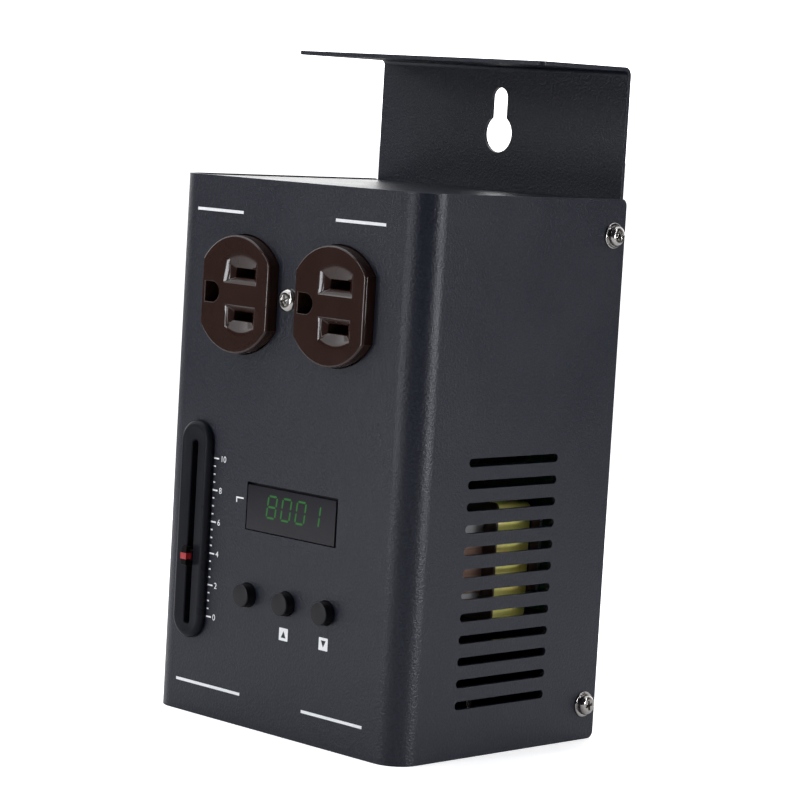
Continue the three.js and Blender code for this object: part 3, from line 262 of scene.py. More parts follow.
def rounded_box(left, right, low, high, radius, steps=8):
    corners = [
        (right - radius, high - radius, 0),
        (left + radius, high - radius, 0.25),
        (left + radius, low + radius, 0.5),
        (right - radius, low + radius, 0.75),
    ]
    points = []
    for u, v, start in corners:
        points += arc(u, v, radius, start, start + 0.25, steps)
    return points


def box_outline(left, right, low, high):
    return [(right, high), (left, high), (left, low), (right, low)]


def tall_slot(u, low, high, width, steps=ROUND_STEPS // 2):
    radius = width / 2
    top = arc(u, high - radius, radius, 0, 0.5, steps)
    return top + arc(u, low + radius, radius, 0.5, 1, steps)


def long_slot(left, right, v, height):
    radius, steps = height / 2, ROUND_STEPS // 4
    right_end = arc(right - radius, v, radius, -0.25, 0.25, steps)
    return right_end + arc(left + radius, v, radius, 0.25, 0.75, steps)


print("a circle has", len(circle(0, 0, MM)), "points")

# %% Faces and plates
AXES = {"front": (0, 2, 1), "side": (1, 2, 0), "floor": (0, 1, 2)}
SAME_POINT = 0.0005 * MM
FILL_TURN = math.radians(21)


def lay(plane, u, v, depth):
    """The point at u and v on a plane that faces front, to the side or down, at that depth."""
    first, second, through = AXES[plane]
    point = Vector()
    point[first], point[second], point[through] = u, v, depth
    return point


def draw_loop(bm, outline, plane, depth):
    verts = [bm.verts.new(lay(plane, u, v, depth)) for u, v in outline]
    return [bm.edges.new((a, b)) for a, b in zip(verts, verts[1:] + verts[:1])]


def fill_loops(bm, edges, plane):
    """Fills flat loops. Points at one height can confuse the fill, so they are turned for it."""
    verts = list({vert for edge in edges for vert in edge.verts})
    places = [vert.co.copy() for vert in verts]
    turn = Quaternion(lay(plane, 0, 0, 1), FILL_TURN).to_matrix()
    bmesh.ops.rotate(bm, verts=verts, cent=(0, 0, 0), matrix=turn)
    bmesh.ops.triangle_fill(bm, use_beauty=True, edges=edges)
    for vert, place in zip(verts, places):
        vert.co = place


def fill_outlines(bm, outlines, plane, depth):
    """A flat face inside the first outline, open inside the others."""
    before = set(bm.faces)
    edges = [edge for outline in outlines for edge in draw_loop(bm, outline, plane, depth)]
    fill_loops(bm, edges, plane)
    return [face for face in bm.faces if face not in before]


def push_faces(bm, faces, plane, distance):
    """Gives flat faces a thickness along the plane's own axis."""
    made = bmesh.ops.extrude_face_region(bm, geom=faces)["geom"]
    verts = [item for item in made if isinstance(item, bmesh.types.BMVert)]
    bmesh.ops.translate(bm, verts=verts, vec=lay(plane, 0, 0, distance))


def add_plate(bm, outlines, plane, near, far):
    faces = fill_outlines(bm, outlines, plane, near)
    push_faces(bm, faces, plane, far - near)


print("planes:", ", ".join(AXES))

# %% Swept rims
def join_rings(bm, rings, plane, ends="open"):
    """Joins outlines at their depths into a skin. The ends stay open, get caps, or meet as a loop."""
    loops = [draw_loop(bm, outline, plane, depth) for outline, depth in rings]
    depths = [depth for _, depth in rings]
    pairs = list(zip(range(len(rings)), range(1, len(rings))))
    if ends == "loop":
        pairs.append((len(rings) - 1, 0))
    for near, far in pairs:
        if abs(depths[near] - depths[far]) < SAME_POINT:
            fill_loops(bm, loops[near] + loops[far], plane)
        else:
            bmesh.ops.bridge_loops(bm, edges=loops[near] + loops[far])
    if ends == "caps":
        bmesh.ops.edgeloop_fill(bm, edges=loops[0])
        bmesh.ops.edgeloop_fill(bm, edges=loops[-1])


def round_over(radius, face, steps=5):
    """The insets and depths of a quarter round that starts on a wall and ends on a face."""
    angles = [QUARTER_TURN * i / steps for i in range(steps + 1)]
    return [(radius * (1 - math.cos(a)), face + radius - radius * math.sin(a)) for a in angles]


print("a quarter round has", len(round_over(MM, 0)), "rings")

# %% [markdown]
# ## From a mesh to a piece
#
# A piece is a mesh object that sits at the origin with its place in its mesh, rides on a body of the
# frame and, in most cases, stands for a node of it. Real edges are never razor sharp, so a narrow
# bevel goes on every edge that turns by more than forty degrees, where it catches a thin highlight.

# %% Helpers for pieces
SHARP_TURN = math.radians(40)
SMOOTH_TURN = math.radians(32)
FLAT_TURN = math.radians(1)


def clean(bm):
    """Merges points that share a place, and turns the faces outwards."""
    bmesh.ops.remove_doubles(bm, verts=bm.verts, dist=SAME_POINT)
    bmesh.ops.recalc_face_normals(bm, faces=bm.faces)


def round_edges(bm, width, segments=2):
    bmesh.ops.dissolve_limit(bm, angle_limit=FLAT_TURN, verts=bm.verts, edges=bm.edges)
    sharp = [e for e in bm.edges if e.is_manifold and e.calc_face_angle() > SHARP_TURN]
    bmesh.ops.bevel(
        bm,
        geom=sharp,
        offset=width,
        offset_type="OFFSET",
        segments=segments,
        profile=0.5,
        affect="EDGES",
        clamp_overlap=True,
        material=-1,
    )


def make_piece(name, bm, material, body, stands_for=(), flat_faces=False):
    """Turns a bmesh into a piece that rides on a body and stands for some nodes of the frame."""
    volume = bm.calc_volume(signed=True) / MM**3
    mesh = bpy.data.meshes.new(name)
    bm.to_mesh(mesh)
    bm.free()
    mesh.materials.append(material)
    mesh.shade_smooth()
    mesh.set_sharp_from_angle(angle=SMOOTH_TURN)
    piece = bpy.data.objects.new(name, mesh)
    bpy.context.scene.collection.objects.link(piece)
    if flat_faces:
        modifier = piece.modifiers.new("flat_faces", "WEIGHTED_NORMAL")
        modifier.keep_sharp = True
    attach(piece, body)
    if stands_for:
        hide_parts(*stands_for)
    print(f"{name}: {len(mesh.polygons)} faces, {volume:.0f} cubic mm")
    return piece


print("piece helpers ready")

# %% [markdown]
# ## The folded cover
#
# One sheet makes the front and both sides. Its two front corners are wide bends, and in the picture
# they carry the brightest sheen, so they have to be truly round. The outer skin is drawn first: three
# flat faces with their openings, and a spin of the front's two upright edges for the bends. Then the
# skin gets the sheet's thickness, inwards, and every cut edge is softened as paint softens it.

# %% Sizes of the cover
cover_low, cover_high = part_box("front_cover")
FRONT = cover_low.y
REAR = cover_high.y
HALF_WIDTH = cover_high.x
CASE_TOP = cover_high.z
SHEET = 1.2 * MM
GAP = 0.3 * MM
BEND_RADIUS = 8 * MM
BEND_STEPS = 24
REAR_CORNER = 2 * MM
CORNER_STEPS = 6
PAINTED_EDGE = 0.16 * MM
VENT_COUNT = 12
VENT_LENGTH = 36 * MM
VENT_HEIGHT = 2.4 * MM
VENT_PITCH = 6.15 * MM
VENT_FRONT = FRONT + 22 * MM
LOWEST_VENT = 15.1 * MM
SCREW_HOLE = 3.6 * MM
cover_screws = ["cover_screw_right_lower", "cover_screw_right_upper"]

outlet_low, outlet_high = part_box("outlet_body")
OUTLET_Z = (outlet_low.z + outlet_high.z) / 2
OUTLET_X = (outlet_low.x + outlet_high.x) / 2
OUTLET_SPACING = 38.9 * MM
OUTLET_DIAMETER = 33.7 * MM
OUTLET_FLATS = 28.2 * MM
outlet_middles = [OUTLET_X - OUTLET_SPACING / 2, OUTLET_X + OUTLET_SPACING / 2]


def middle_of(node):
    low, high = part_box(node)
    return (low + high) / 2


def circles_at(nodes, plane, diameter):
    """A circle in line with the middle of each node."""
    first, second, _ = AXES[plane]
    middles = [middle_of(node) for node in nodes]
    return [circle(middle[first], middle[second], diameter) for middle in middles]


def outlet_outline(x, inset):
    """One outlet face: a circle with a flat on each side."""
    radius = OUTLET_DIAMETER / 2 - inset
    flat = OUTLET_FLATS / 2 - inset
    corner = math.acos(flat / radius) / math.tau
    upper = arc(x, OUTLET_Z, radius, corner, 0.5 - corner, ROUND_STEPS // 2)
    return upper + arc(x, OUTLET_Z, radius, 0.5 + corner, 1 - corner, ROUND_STEPS // 2)


print("case:", [round(v / MM, 1) for v in cover_high - cover_low], "mm")

# %% Openings of the cover
window_low, window_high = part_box("display_window")
bezel_low, bezel_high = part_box("fader_bezel")
BEZEL_X = (bezel_low.x + bezel_high.x) / 2
BEZEL_WIDTH = bezel_high.x - bezel_low.x
WINDOW_RIM = 2 * MM
BUTTON_HOLE = 7.2 * MM
FADER_HOLE_INSET = 1.9 * MM
buttons = ["menu_button", "up_button", "down_button"]


def front_openings():
    rim, inset = WINDOW_RIM - GAP, FADER_HOLE_INSET
    left, right = window_low.x + rim, window_high.x - rim
    window = box_outline(left, right, window_low.z + rim, window_high.z - rim)
    fader = tall_slot(BEZEL_X, bezel_low.z + inset, bezel_high.z - inset, BEZEL_WIDTH - 2 * inset)
    holes = [window, fader, circle(OUTLET_X, OUTLET_Z, SCREW_HOLE)]
    holes += [outlet_outline(x, -GAP) for x in outlet_middles]
    return holes + circles_at(buttons, "front", BUTTON_HOLE)


def side_outlines():
    corner = REAR - REAR_CORNER
    outline = arc(corner, CASE_TOP - REAR_CORNER, REAR_CORNER, 0, 0.25, CORNER_STEPS)
    outline += [(FRONT + BEND_RADIUS, CASE_TOP), (FRONT + BEND_RADIUS, 0)]
    outline += arc(corner, REAR_CORNER, REAR_CORNER, 0.75, 1, CORNER_STEPS)
    heights = [LOWEST_VENT + i * VENT_PITCH for i in range(VENT_COUNT)]
    vents = [long_slot(VENT_FRONT, VENT_FRONT + VENT_LENGTH, z, VENT_HEIGHT) for z in heights]
    return [outline, *vents, *circles_at(cover_screws, "side", SCREW_HOLE)]


print("openings in the front:", len(front_openings()))

# %% Front cover
def spin_edges(bm, edges, centre, axis, side, steps):
    """Spins open edges of a sheet a quarter turn round the axis of a bend, either way."""
    bmesh.ops.spin(
        bm,
        geom=edges + [vert for edge in edges for vert in edge.verts],
        cent=centre,
        axis=axis,
        angle=side * QUARTER_TURN,
        steps=steps,
        use_merge=False,
    )


def bend_corner(bm, x, side):
    """Spins an upright edge of the front round one corner."""
    line = {v for v in bm.verts if abs(v.co.x - x) < SAME_POINT and v.co.y < FRONT + SAME_POINT}
    edges = [e for e in bm.edges if line.issuperset(e.verts)]
    spin_edges(bm, edges, (x, FRONT + BEND_RADIUS, 0), (0, 0, 1), side, BEND_STEPS)


def thicken(bm, facing):
    """Turns a skin outwards, its wall to the front (-1) or rear (1), and thickens it inwards."""
    if facing * sum(face.normal.y * face.calc_area() for face in bm.faces) < 0:
        bmesh.ops.reverse_faces(bm, faces=bm.faces)
    bmesh.ops.solidify(bm, geom=bm.faces, thickness=SHEET)


def front_cover():
    bm = bmesh.new()
    bend_x = HALF_WIDTH - BEND_RADIUS
    front = box_outline(-bend_x, bend_x, 0, CASE_TOP)
    fill_outlines(bm, [front, *front_openings()], "front", FRONT)
    bend_corner(bm, bend_x, 1)
    bend_corner(bm, -bend_x, -1)
    for side in (-1, 1):
        fill_outlines(bm, side_outlines(), "side", side * HALF_WIDTH)
    clean(bm)
    thicken(bm, -1)
    round_edges(bm, PAINTED_EDGE)
    return bm


make_piece(
    "front_cover_skin",
    front_cover(),
    POWDER_COAT,
    "case",
    ["front_cover"],
    flat_faces=True,
)

# %% [markdown]
# ## The back plate, flange and floor of the case
#
# A second sheet hangs the pack and closes it. It is one long strip: a flange at the top, the back plate
# with its keyhole, and the bottom panel, with a tight bend between each. It is made in the cover's way,
# as an outer skin with two spun bends. The side returns, which the cover's screws go into, and the
# standoffs of the power board are plain plates and posts, added after the skin has its thickness.

# %% Sizes of the back plate
chassis_low, chassis_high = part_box("rear_chassis")
PLATE_HALF = chassis_high.x
HANGER_TOP = chassis_high.z
PANEL_BOTTOM = chassis_low.z
INSIDE_FRONT = FRONT + SHEET + GAP
FLANGE_FRONT = REAR - 37.6 * MM
TIGHT_BEND = 2.5 * MM
TIGHT_STEPS = 8
FLANGE_CORNER = 2 * MM
PANEL_CORNER = BEND_RADIUS - SHEET - GAP
KEYHOLE_HEAD = 11 * MM
KEYHOLE_SLOT = 6.2 * MM
KEYHOLE_HEAD_Z = HANGER_TOP - 21.1 * MM
KEYHOLE_TOP = HANGER_TOP - 7.5 * MM
INLET_HALF_WIDTH = 14 * MM
INLET_HALF_DEPTH = 14.3 * MM
CONNECTOR_HOLE = 24.2 * MM
RETURN_DEPTH = 14 * MM
RETURN_LOW = PANEL_BOTTOM + SHEET + 4 * MM
RETURN_HIGH = CASE_TOP - 2.6 * MM
POST_DIAMETER = 6 * MM
board_posts = [f"power_board_screw_{number}" for number in range(1, 5)]
bottom_screws = [
    "inlet_screw_left",
    "inlet_screw_right",
    "input_screw_rear",
    "input_screw_front",
    "output_screw_rear",
    "output_screw_front",
]
print("hanging flange:", round((REAR - FLANGE_FRONT) / MM, 1), "mm deep")

# %% Openings of the back plate
def keyhole():
    """A round hole for the screw's head that opens upwards into a slot for its shank."""
    half = KEYHOLE_SLOT / 2
    meet = math.acos(KEYHOLE_SLOT / KEYHOLE_HEAD) / math.tau
    head = arc(0, KEYHOLE_HEAD_Z, KEYHOLE_HEAD / 2, 0.5 - meet, 1 + meet, ROUND_STEPS)
    return head + arc(0, KEYHOLE_TOP - half, half, 0, 0.5, ROUND_STEPS // 2)


def panel_plan(front, rear, corner, steps):
    """The plan of a panel as wide as the back plate, with two round front corners."""
    bend = PLATE_HALF - corner
    left = arc(-bend, front + corner, corner, 0.5, 0.75, steps)
    right = arc(bend, front + corner, corner, 0.75, 1, steps)
    return [(PLATE_HALF, rear), (-PLATE_HALF, rear), *left, *right]


def inside_plan(rear):
    """The plan of a panel that lies inside the cover's two bends."""
    return panel_plan(INSIDE_FRONT, rear, PANEL_CORNER, BEND_STEPS // 2)


def bottom_openings():
    y = middle_of("power_inlet").y
    low, high = y - INLET_HALF_DEPTH, y + INLET_HALF_DEPTH
    inlet = box_outline(-INLET_HALF_WIDTH, INLET_HALF_WIDTH, low, high)
    shells = circles_at(["control_input", "control_output"], "floor", CONNECTOR_HOLE)
    return [inlet, *shells, *circles_at(bottom_screws, "floor", SCREW_HOLE)]


print("openings in the bottom panel:", len(bottom_openings()))

# %% Back plate
def bend_sheet(bm, z, side):
    """Spins the level edge at height z round a tight bend."""
    edges = [e for e in bm.edges if all(abs(v.co.z - z) < SAME_POINT for v in e.verts)]
    spin_edges(bm, edges, (0, REAR - TIGHT_BEND, z), (1, 0, 0), side, TIGHT_STEPS)


def bent_strip():
    """The flange, the back plate and the bottom panel, in one sheet."""
    bm = bmesh.new()
    rear = REAR - TIGHT_BEND
    top_bend = HANGER_TOP - TIGHT_BEND
    low_bend = PANEL_BOTTOM + TIGHT_BEND
    back = box_outline(-PLATE_HALF, PLATE_HALF, low_bend, top_bend)
    fill_outlines(bm, [back, keyhole()], "front", REAR)
    bend_sheet(bm, top_bend, 1)
    bend_sheet(bm, low_bend, -1)
    flange = panel_plan(FLANGE_FRONT, rear, FLANGE_CORNER, CORNER_STEPS)
    fill_outlines(bm, [flange], "floor", HANGER_TOP)
    fill_outlines(bm, [inside_plan(rear), *bottom_openings()], "floor", PANEL_BOTTOM)
    clean(bm)
    thicken(bm, 1)
    round_edges(bm, PAINTED_EDGE)
    return bm


def rear_chassis():
    bm = bent_strip()
    side = box_outline(REAR - RETURN_DEPTH, REAR - SHEET, RETURN_LOW, RETURN_HIGH)
    holes = circles_at(cover_screws, "side", SCREW_HOLE)
    for sign in (-1, 1):
        add_plate(bm, [side, *holes], "side", sign * (PLATE_HALF - SHEET), sign * PLATE_HALF)
    board_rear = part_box("power_board")[1].y
    for post in circles_at(board_posts, "front", POST_DIAMETER):
        join_rings(bm, [(post, board_rear + GAP), (post, REAR - SHEET)], "front", ends="caps")
    bmesh.ops.recalc_face_normals(bm, faces=bm.faces)
    return bm


make_piece(
    "rear_chassis_sheet",
    rear_chassis(),
    POWDER_COAT,
    "case",
    ["rear_chassis"],
    flat_faces=True,
)

# %% [markdown]
# ## The top panel
#
# The lid lies just under the cover's upper rim, so the rim shows as a thin line round it. Its rear edge
# turns down along the back plate. The finish is the same powder coat.

# %% Top panel
panel_low, panel_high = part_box("top_panel")


def top_panel():
    bm = bmesh.new()
    rear = panel_high.y
    add_plate(bm, [inside_plan(rear)], "floor", panel_high.z - SHEET, panel_high.z)
    lip = PLATE_HALF - SHEET - 2 * GAP
    outline = box_outline(-lip, lip, panel_low.z, panel_high.z - SHEET)
    add_plate(bm, [outline], "front", rear - SHEET, rear)
    clean(bm)
    round_edges(bm, PAINTED_EDGE)
    return bm


make_piece(
    "top_panel_sheet", top_panel(), POWDER_COAT, "case", ["top_panel"], flat_faces=True
)

# %% [markdown]
# ## Plastics and metals
#
# The outlet is glossy brown phenolic, the fader's trim and the buttons are satin black, and the
# screws are nickel plated. Moulded plastic has a very fine grain and a slow drift in its gloss. Plated
# steel has faint dull patches and a fine grain, so its roughness and its bump come from two noises.

# %% Finishes for plastics and metals
PLASTIC_PATCH = 9 * MM
PLATED_PATCH = 3 * MM
PLATED_GRAIN = 0.12 * MM


def moulded_plastic(name, dark, light, gloss, grain=0.3 * MM, relief=0.008 * MM, shine=0.5):
    material, shader = new_finish(name, light, gloss)
    shader.inputs["Specular IOR Level"].default_value = shine
    vector = object_coordinates(material)
    patch = noise(material, vector, PLASTIC_PATCH)
    vary_color(material, shader, patch, dark, light)
    vary_roughness(material, shader, patch, gloss * 0.9, gloss * 1.15)
    bump(material, shader, noise(material, vector, grain, detail=3), relief, strength=0.5)
    return material


def plated_metal(name, dark, light, gloss, stretch=(1, 1, 1)):
    material, shader = new_finish(name, light, gloss, metallic=1.0)
    vector = object_coordinates(material, stretch)
    patch = noise(material, vector, PLATED_PATCH, detail=4)
    vary_color(material, shader, patch, dark, light)
    vary_roughness(material, shader, patch, gloss * 0.8, gloss * 1.4)
    bump(material, shader, noise(material, vector, PLATED_GRAIN), 0.004 * MM, strength=0.4)
    return material


BROWN_PHENOLIC = moulded_plastic(
    "brown_phenolic", (0.018, 0.008, 0.006), (0.028, 0.013, 0.010), 0.1, 1.2 * MM, shine=0.33
)
SATIN_BLACK = moulded_plastic(
    "satin_black", (0.006, 0.0065, 0.009), (0.009, 0.0095, 0.013), 0.3, shine=0.08
)
BUTTON_BLACK = moulded_plastic(
    "button_black", (0.004, 0.004, 0.005), (0.006, 0.006, 0.008), 0.33, shine=0.22
)
BLADE_BLACK = moulded_plastic(
    "blade_black", (0.002, 0.002, 0.002), (0.003, 0.003, 0.003), 0.5, shine=0.06
)
DISPLAY_BLACK = moulded_plastic(
    "display_black", (0.0006, 0.0006, 0.0008), (0.0015, 0.0015, 0.002), 0.6, relief=0, shine=0
)
DEEP_BLACK = moulded_plastic("connector_black", (0.006, 0.006, 0.007), (0.010, 0.010, 0.011), 0.45)
SWITCH_GREY = moulded_plastic("switch_grey", (0.20, 0.20, 0.20), (0.27, 0.27, 0.26), 0.5)
CAP_RED = moulded_plastic("cap_red", (0.28, 0.010, 0.014), (0.38, 0.014, 0.019), 0.35)
TERMINAL_GREEN = moulded_plastic("terminal_green", (0.02, 0.17, 0.06), (0.03, 0.23, 0.08), 0.45)
NICKEL = plated_metal("nickel_plate", (0.26, 0.25, 0.24), (0.44, 0.42, 0.40), 0.13)
ZINC = plated_metal("zinc_plate", (0.40, 0.41, 0.42), (0.56, 0.57, 0.58), 0.34)
BRASS = plated_metal("brass_strip", (0.48, 0.31, 0.09), (0.62, 0.42, 0.14), 0.3)
DRAWN_ALUMINIUM = plated_metal(
    "drawn_aluminium", (0.42, 0.43, 0.44), (0.56, 0.57, 0.58), 0.38, stretch=(1, 1, 0.05)
)
print("plastics and metals:", BROWN_PHENOLIC.name, SATIN_BLACK.name, NICKEL.name)

# %% [markdown]
# ## The duplex outlet
#
# Each face is a circle with two flats, and stands a few millimetres out of the case with a softly
# rounded edge. A D-shaped hole takes the ground pin. Each blade drops into a pocket, so a plug finds
# its way in: a funnel whose outer side is a long curve, shallow at the mouth and steeper near the slot.
# It is made of outlines with as many points each, at their depths, bridged in a row.

# %% Outlet face
OUTLET_FACE = outlet_low.y
OUTLET_REAR = outlet_high.y
OUTLET_ROUND = 0.7 * MM
THROAT_DEPTH = 0.75 * MM
SLOT_DEPTH = 1.8 * MM
GROUND_DIAMETER = 5.8 * MM
GROUND_OFFSET = -9.5 * MM
POCKET_STEPS = 14
# Left, right, inner and outer edge and crown, from the middle of a face, for each depth of a pocket
MOUTHS = {1: (-5.0, 9.3, 3.0, 10.0, 2.1), -1: (-4.3, 9.0, 3.0, 9.9, 2.0)}
THROATS = {1: (-2.9, 8.0, 3.9, 8.6, 1.2), -1: (-2.6, 7.8, 3.9, 8.5, 1.2)}
SLOTS = {1: (-1.5, 6.3, 4.8, 7.4, 0), -1: (-1.5, 6.3, 4.8, 7.4, 0)}


def pocket_outline(x, side, edges):
    """Straight on three sides, with a shallow curve on the outer one."""
    left, right, inner, outer, crown = [value * MM for value in edges]
    points = []
    for i in range(POCKET_STEPS + 1):
        share = i / POCKET_STEPS
        reach = outer + crown * math.sin(share * math.pi)
        points.append((x + right + share * (left - right), OUTLET_Z + side * reach))
    inner_z = OUTLET_Z + side * inner
    return points + [(x + left, inner_z), (x + right, inner_z)]


def ground_outline(x):
    """Round towards the middle of the outlet and straight on the outside."""
    radius = GROUND_DIAMETER / 2
    middle = x + GROUND_OFFSET
    curve = arc(middle, OUTLET_Z, radius, -0.25, 0.25, ROUND_STEPS // 3)
    return curve + [(middle - radius, OUTLET_Z + radius), (middle - radius, OUTLET_Z - radius)]


def outlet_face(bm, x):
    rim = [(0, OUTLET_REAR)] + round_over(OUTLET_ROUND, OUTLET_FACE)
    join_rings(bm, [(outlet_outline(x, inset), y) for inset, y in rim], "front")
    mouths = [pocket_outline(x, side, MOUTHS[side]) for side in (-1, 1)]
    throats = [pocket_outline(x, side, THROATS[side]) for side in (-1, 1)]
    slots = [pocket_outline(x, side, SLOTS[side]) for side in (-1, 1)]
    ground = ground_outline(x)
    fill_outlines(bm, [outlet_outline(x, OUTLET_ROUND), *mouths, ground], "front", OUTLET_FACE)
    fill_outlines(bm, [outlet_outline(x, 0), *slots, ground], "front", OUTLET_REAR)
    join_rings(bm, [(ground, OUTLET_FACE), (ground, OUTLET_REAR)], "front")
    depths = [OUTLET_FACE, OUTLET_FACE + THROAT_DEPTH, OUTLET_FACE + SLOT_DEPTH, OUTLET_REAR]
    for mouth, throat, slot in zip(mouths, throats, slots):
        join_rings(bm, list(zip([mouth, throat, slot, slot], depths)), "front")


print("outlet faces stand", round((FRONT - OUTLET_FACE) / MM, 2), "mm proud")

# %% Duplex outlet
MOULDED_EDGE = 0.22 * MM
BASE_HALF = 16.5 * MM
BASE_CORNER = 2 * MM
BASE_HOLE = 4 * MM
FACE_CLEARANCE = 0.02 * MM


def outlet_body():
    """Two faces on one base that lies behind the front."""
    bm = bmesh.new()
    for x in outlet_middles:
        outlet_face(bm, x)
    clean(bm)
    round_edges(bm, MOULDED_EDGE, segments=3)
    low, high = OUTLET_Z - BASE_HALF, OUTLET_Z + BASE_HALF
    base = rounded_box(outlet_low.x, outlet_high.x, low, high, BASE_CORNER)
    holes = [outlet_outline(x, -FACE_CLEARANCE) for x in outlet_middles]
    holes.append(circle(OUTLET_X, OUTLET_Z, BASE_HOLE))
    add_plate(bm, [base, *holes], "front", INSIDE_FRONT, OUTLET_REAR)
    bmesh.ops.recalc_face_normals(bm, faces=bm.faces)
    return bm


make_piece(
    "outlet_faces",
    outlet_body(),
    BROWN_PHENOLIC,
    "case",
    ["outlet_body"],
    flat_faces=True,
)

# %% [markdown]
# ## Screws
#
# Every screw has a round head with a cross recess. The two kinds that show most are the cover's, with
# a washer under the head, and the outlet's centre screw. The head is a stack of rings bridged
# together, its top is a flat face with the cross left open, and the cross goes down on a slight taper.

# %% Shape of a screw
# Shares of the head's diameter and of its height
DOME_RINGS = [(1.0, 0.0), (1.0, 0.35), (0.97, 0.6), (0.88, 0.82), (0.74, 0.95), (0.62, 1.0)]
WASHER_BEVEL = 0.3
CROSS_SHARE = 0.5
CROSS_WIDTH = 0.85 * MM
CROSS_DEPTH = 0.75
CROSS_TAPER = (0.8, 0.7)


def cross_outline(u, v, reach, width, turn):
    half = width / 2
    points = []
    for quarter in range(4):
        angle = turn + quarter * QUARTER_TURN
        cos, sin = math.cos(angle), math.sin(angle)
        for a, b in [(reach, -half), (reach, half), (half, half)]:
            points.append((u + a * cos - b * sin, v + a * sin + b * cos))
    return points


def add_screw(bm, plane, place, seat, outward, sizes, turn):
    """A screw whose washer lies on its seat and whose head points outward, up or down the axis."""
    u, v = place
    head, washer, shank = sizes
    bevel = washer[1] * WASHER_BEVEL
    washer_top = seat + outward * washer[1]
    shank_end = seat - outward * shank[1]
    rings = [(shank[0], shank_end), (shank[0], seat), (washer[0], seat)]
    rings += [(washer[0], washer_top - outward * bevel), (washer[0] - 2 * bevel, washer_top)]
    rings += [(head[0] * wide, washer_top + outward * head[1] * tall) for wide, tall in DOME_RINGS]
    join_rings(bm, [(circle(u, v, size), depth) for size, depth in rings], plane)
    through = AXES[plane][2]
    tip = {vert for vert in bm.verts if abs(vert.co[through] - shank_end) < SAME_POINT}
    bmesh.ops.edgeloop_fill(bm, edges=[e for e in bm.edges if tip.issuperset(e.verts)])
    top = washer_top + outward * head[1]
    floor = top - outward * head[1] * CROSS_DEPTH
    reach = head[0] / 2 * CROSS_SHARE
    cross = cross_outline(u, v, reach, CROSS_WIDTH, turn)
    small = cross_outline(u, v, reach * CROSS_TAPER[0], CROSS_WIDTH * CROSS_TAPER[1], turn)
    fill_outlines(bm, [circle(u, v, rings[-1][0]), cross], plane, top)
    join_rings(bm, [(cross, top), (small, floor)], plane)
    fill_outlines(bm, [small], plane, floor)


print("rings in the dome of a head:", len(DOME_RINGS))

# %% Screws
SCREW_EDGE = 0.06 * MM
# Diameter and length of the head, the washer and the shank
COVER_SCREW = ((5.8 * MM, 1.9 * MM), (7.4 * MM, 0.6 * MM), (3 * MM, 6 * MM))
OUTLET_SCREW = ((6.6 * MM, 1.7 * MM), (6.6 * MM, 0.3 * MM), (3.4 * MM, 9 * MM))


def screw_piece(node, plane, seat, outward, sizes, turn):
    bm = bmesh.new()
    place = middle_of(node)
    first, second, _ = AXES[plane]
    add_screw(bm, plane, (place[first], place[second]), seat, outward, sizes, turn)
    clean(bm)
    round_edges(bm, SCREW_EDGE)
    make_piece(f"{node}_turned", bm, NICKEL, "case", [node])


cover_turns = {"right_upper": 0.5, "right_lower": 0.2, "left_upper": 0.9, "left_lower": 0.1}
for ending, turn in cover_turns.items():
    side = 1 if ending.startswith("right") else -1
    node = f"cover_screw_{ending}"
    screw_piece(node, "side", side * HALF_WIDTH, side, COVER_SCREW, turn)
screw_piece("outlet_screw", "front", FRONT, -1, OUTLET_SCREW, 0.35)

# %% [markdown]
# ## The fader
#
# A raised black trim runs round the slot. From the case it goes straight up a little, rolls over a
# rounded rim, and dips towards the slot, where a small chamfer catches the light. It is one closed
# section carried round a long capsule, so each ring of the section is a capsule and neighbouring
# rings are bridged. The cap in the slot is a slim black blade with a red line round its middle.

# %% Fader trim
BEZEL_CREST = 2.2 * MM
BEZEL_ROUND = 1.6 * MM
BEZEL_ROUND_STEPS = 9
BEZEL_DISH = 1.9 * MM
DISH_SHARES = (0.12, 0.35, 0.7, 1.0)
FADER_SLOT = 2.4 * MM
FADER_SLOT_LOW = 25.9 * MM
FADER_SLOT_HIGH = 79.7 * MM
SLOT_CHAMFER = 0.25 * MM
SPIGOT_INSET = 2.2 * MM
CAPSULE_STEPS = 28


def bezel_ring(inset):
    low, high = bezel_low.z + inset, bezel_high.z - inset
    return tall_slot(BEZEL_X, low, high, BEZEL_WIDTH - 2 * inset, CAPSULE_STEPS)


def slot_ring(outset):
    low, high = FADER_SLOT_LOW - outset, FADER_SLOT_HIGH + outset
    return tall_slot(BEZEL_X, low, high, FADER_SLOT + 2 * outset, CAPSULE_STEPS)


def between(first, second, share):
    pairs = zip(first, second)
    return [(a[0] + (b[0] - a[0]) * share, a[1] + (b[1] - a[1]) * share) for a, b in pairs]


def fader_trim():
    bm = bmesh.new()
    seat, crest = FRONT - GAP, FRONT - BEZEL_CREST
    rear = bezel_high.y
    spigot = bezel_ring(SPIGOT_INSET)
    rings = [(spigot, rear), (spigot, seat), (bezel_ring(0), seat)]
    rim = round_over(BEZEL_ROUND, crest, BEZEL_ROUND_STEPS)
    rings += [(bezel_ring(inset), y) for inset, y in rim]
    outer, inner = bezel_ring(BEZEL_ROUND), slot_ring(SLOT_CHAMFER)
    for share in DISH_SHARES:
        dip = (BEZEL_CREST - BEZEL_DISH) * math.sin(share * math.pi / 2)
        rings.append((between(outer, inner, share), crest + dip))
    rings += [(slot_ring(0), FRONT - BEZEL_DISH + SLOT_CHAMFER), (slot_ring(0), rear)]
    join_rings(bm, rings, "front", ends="loop")
    clean(bm)
    return bm


make_piece("fader_trim", fader_trim(), SATIN_BLACK, "case", ["fader_bezel"])

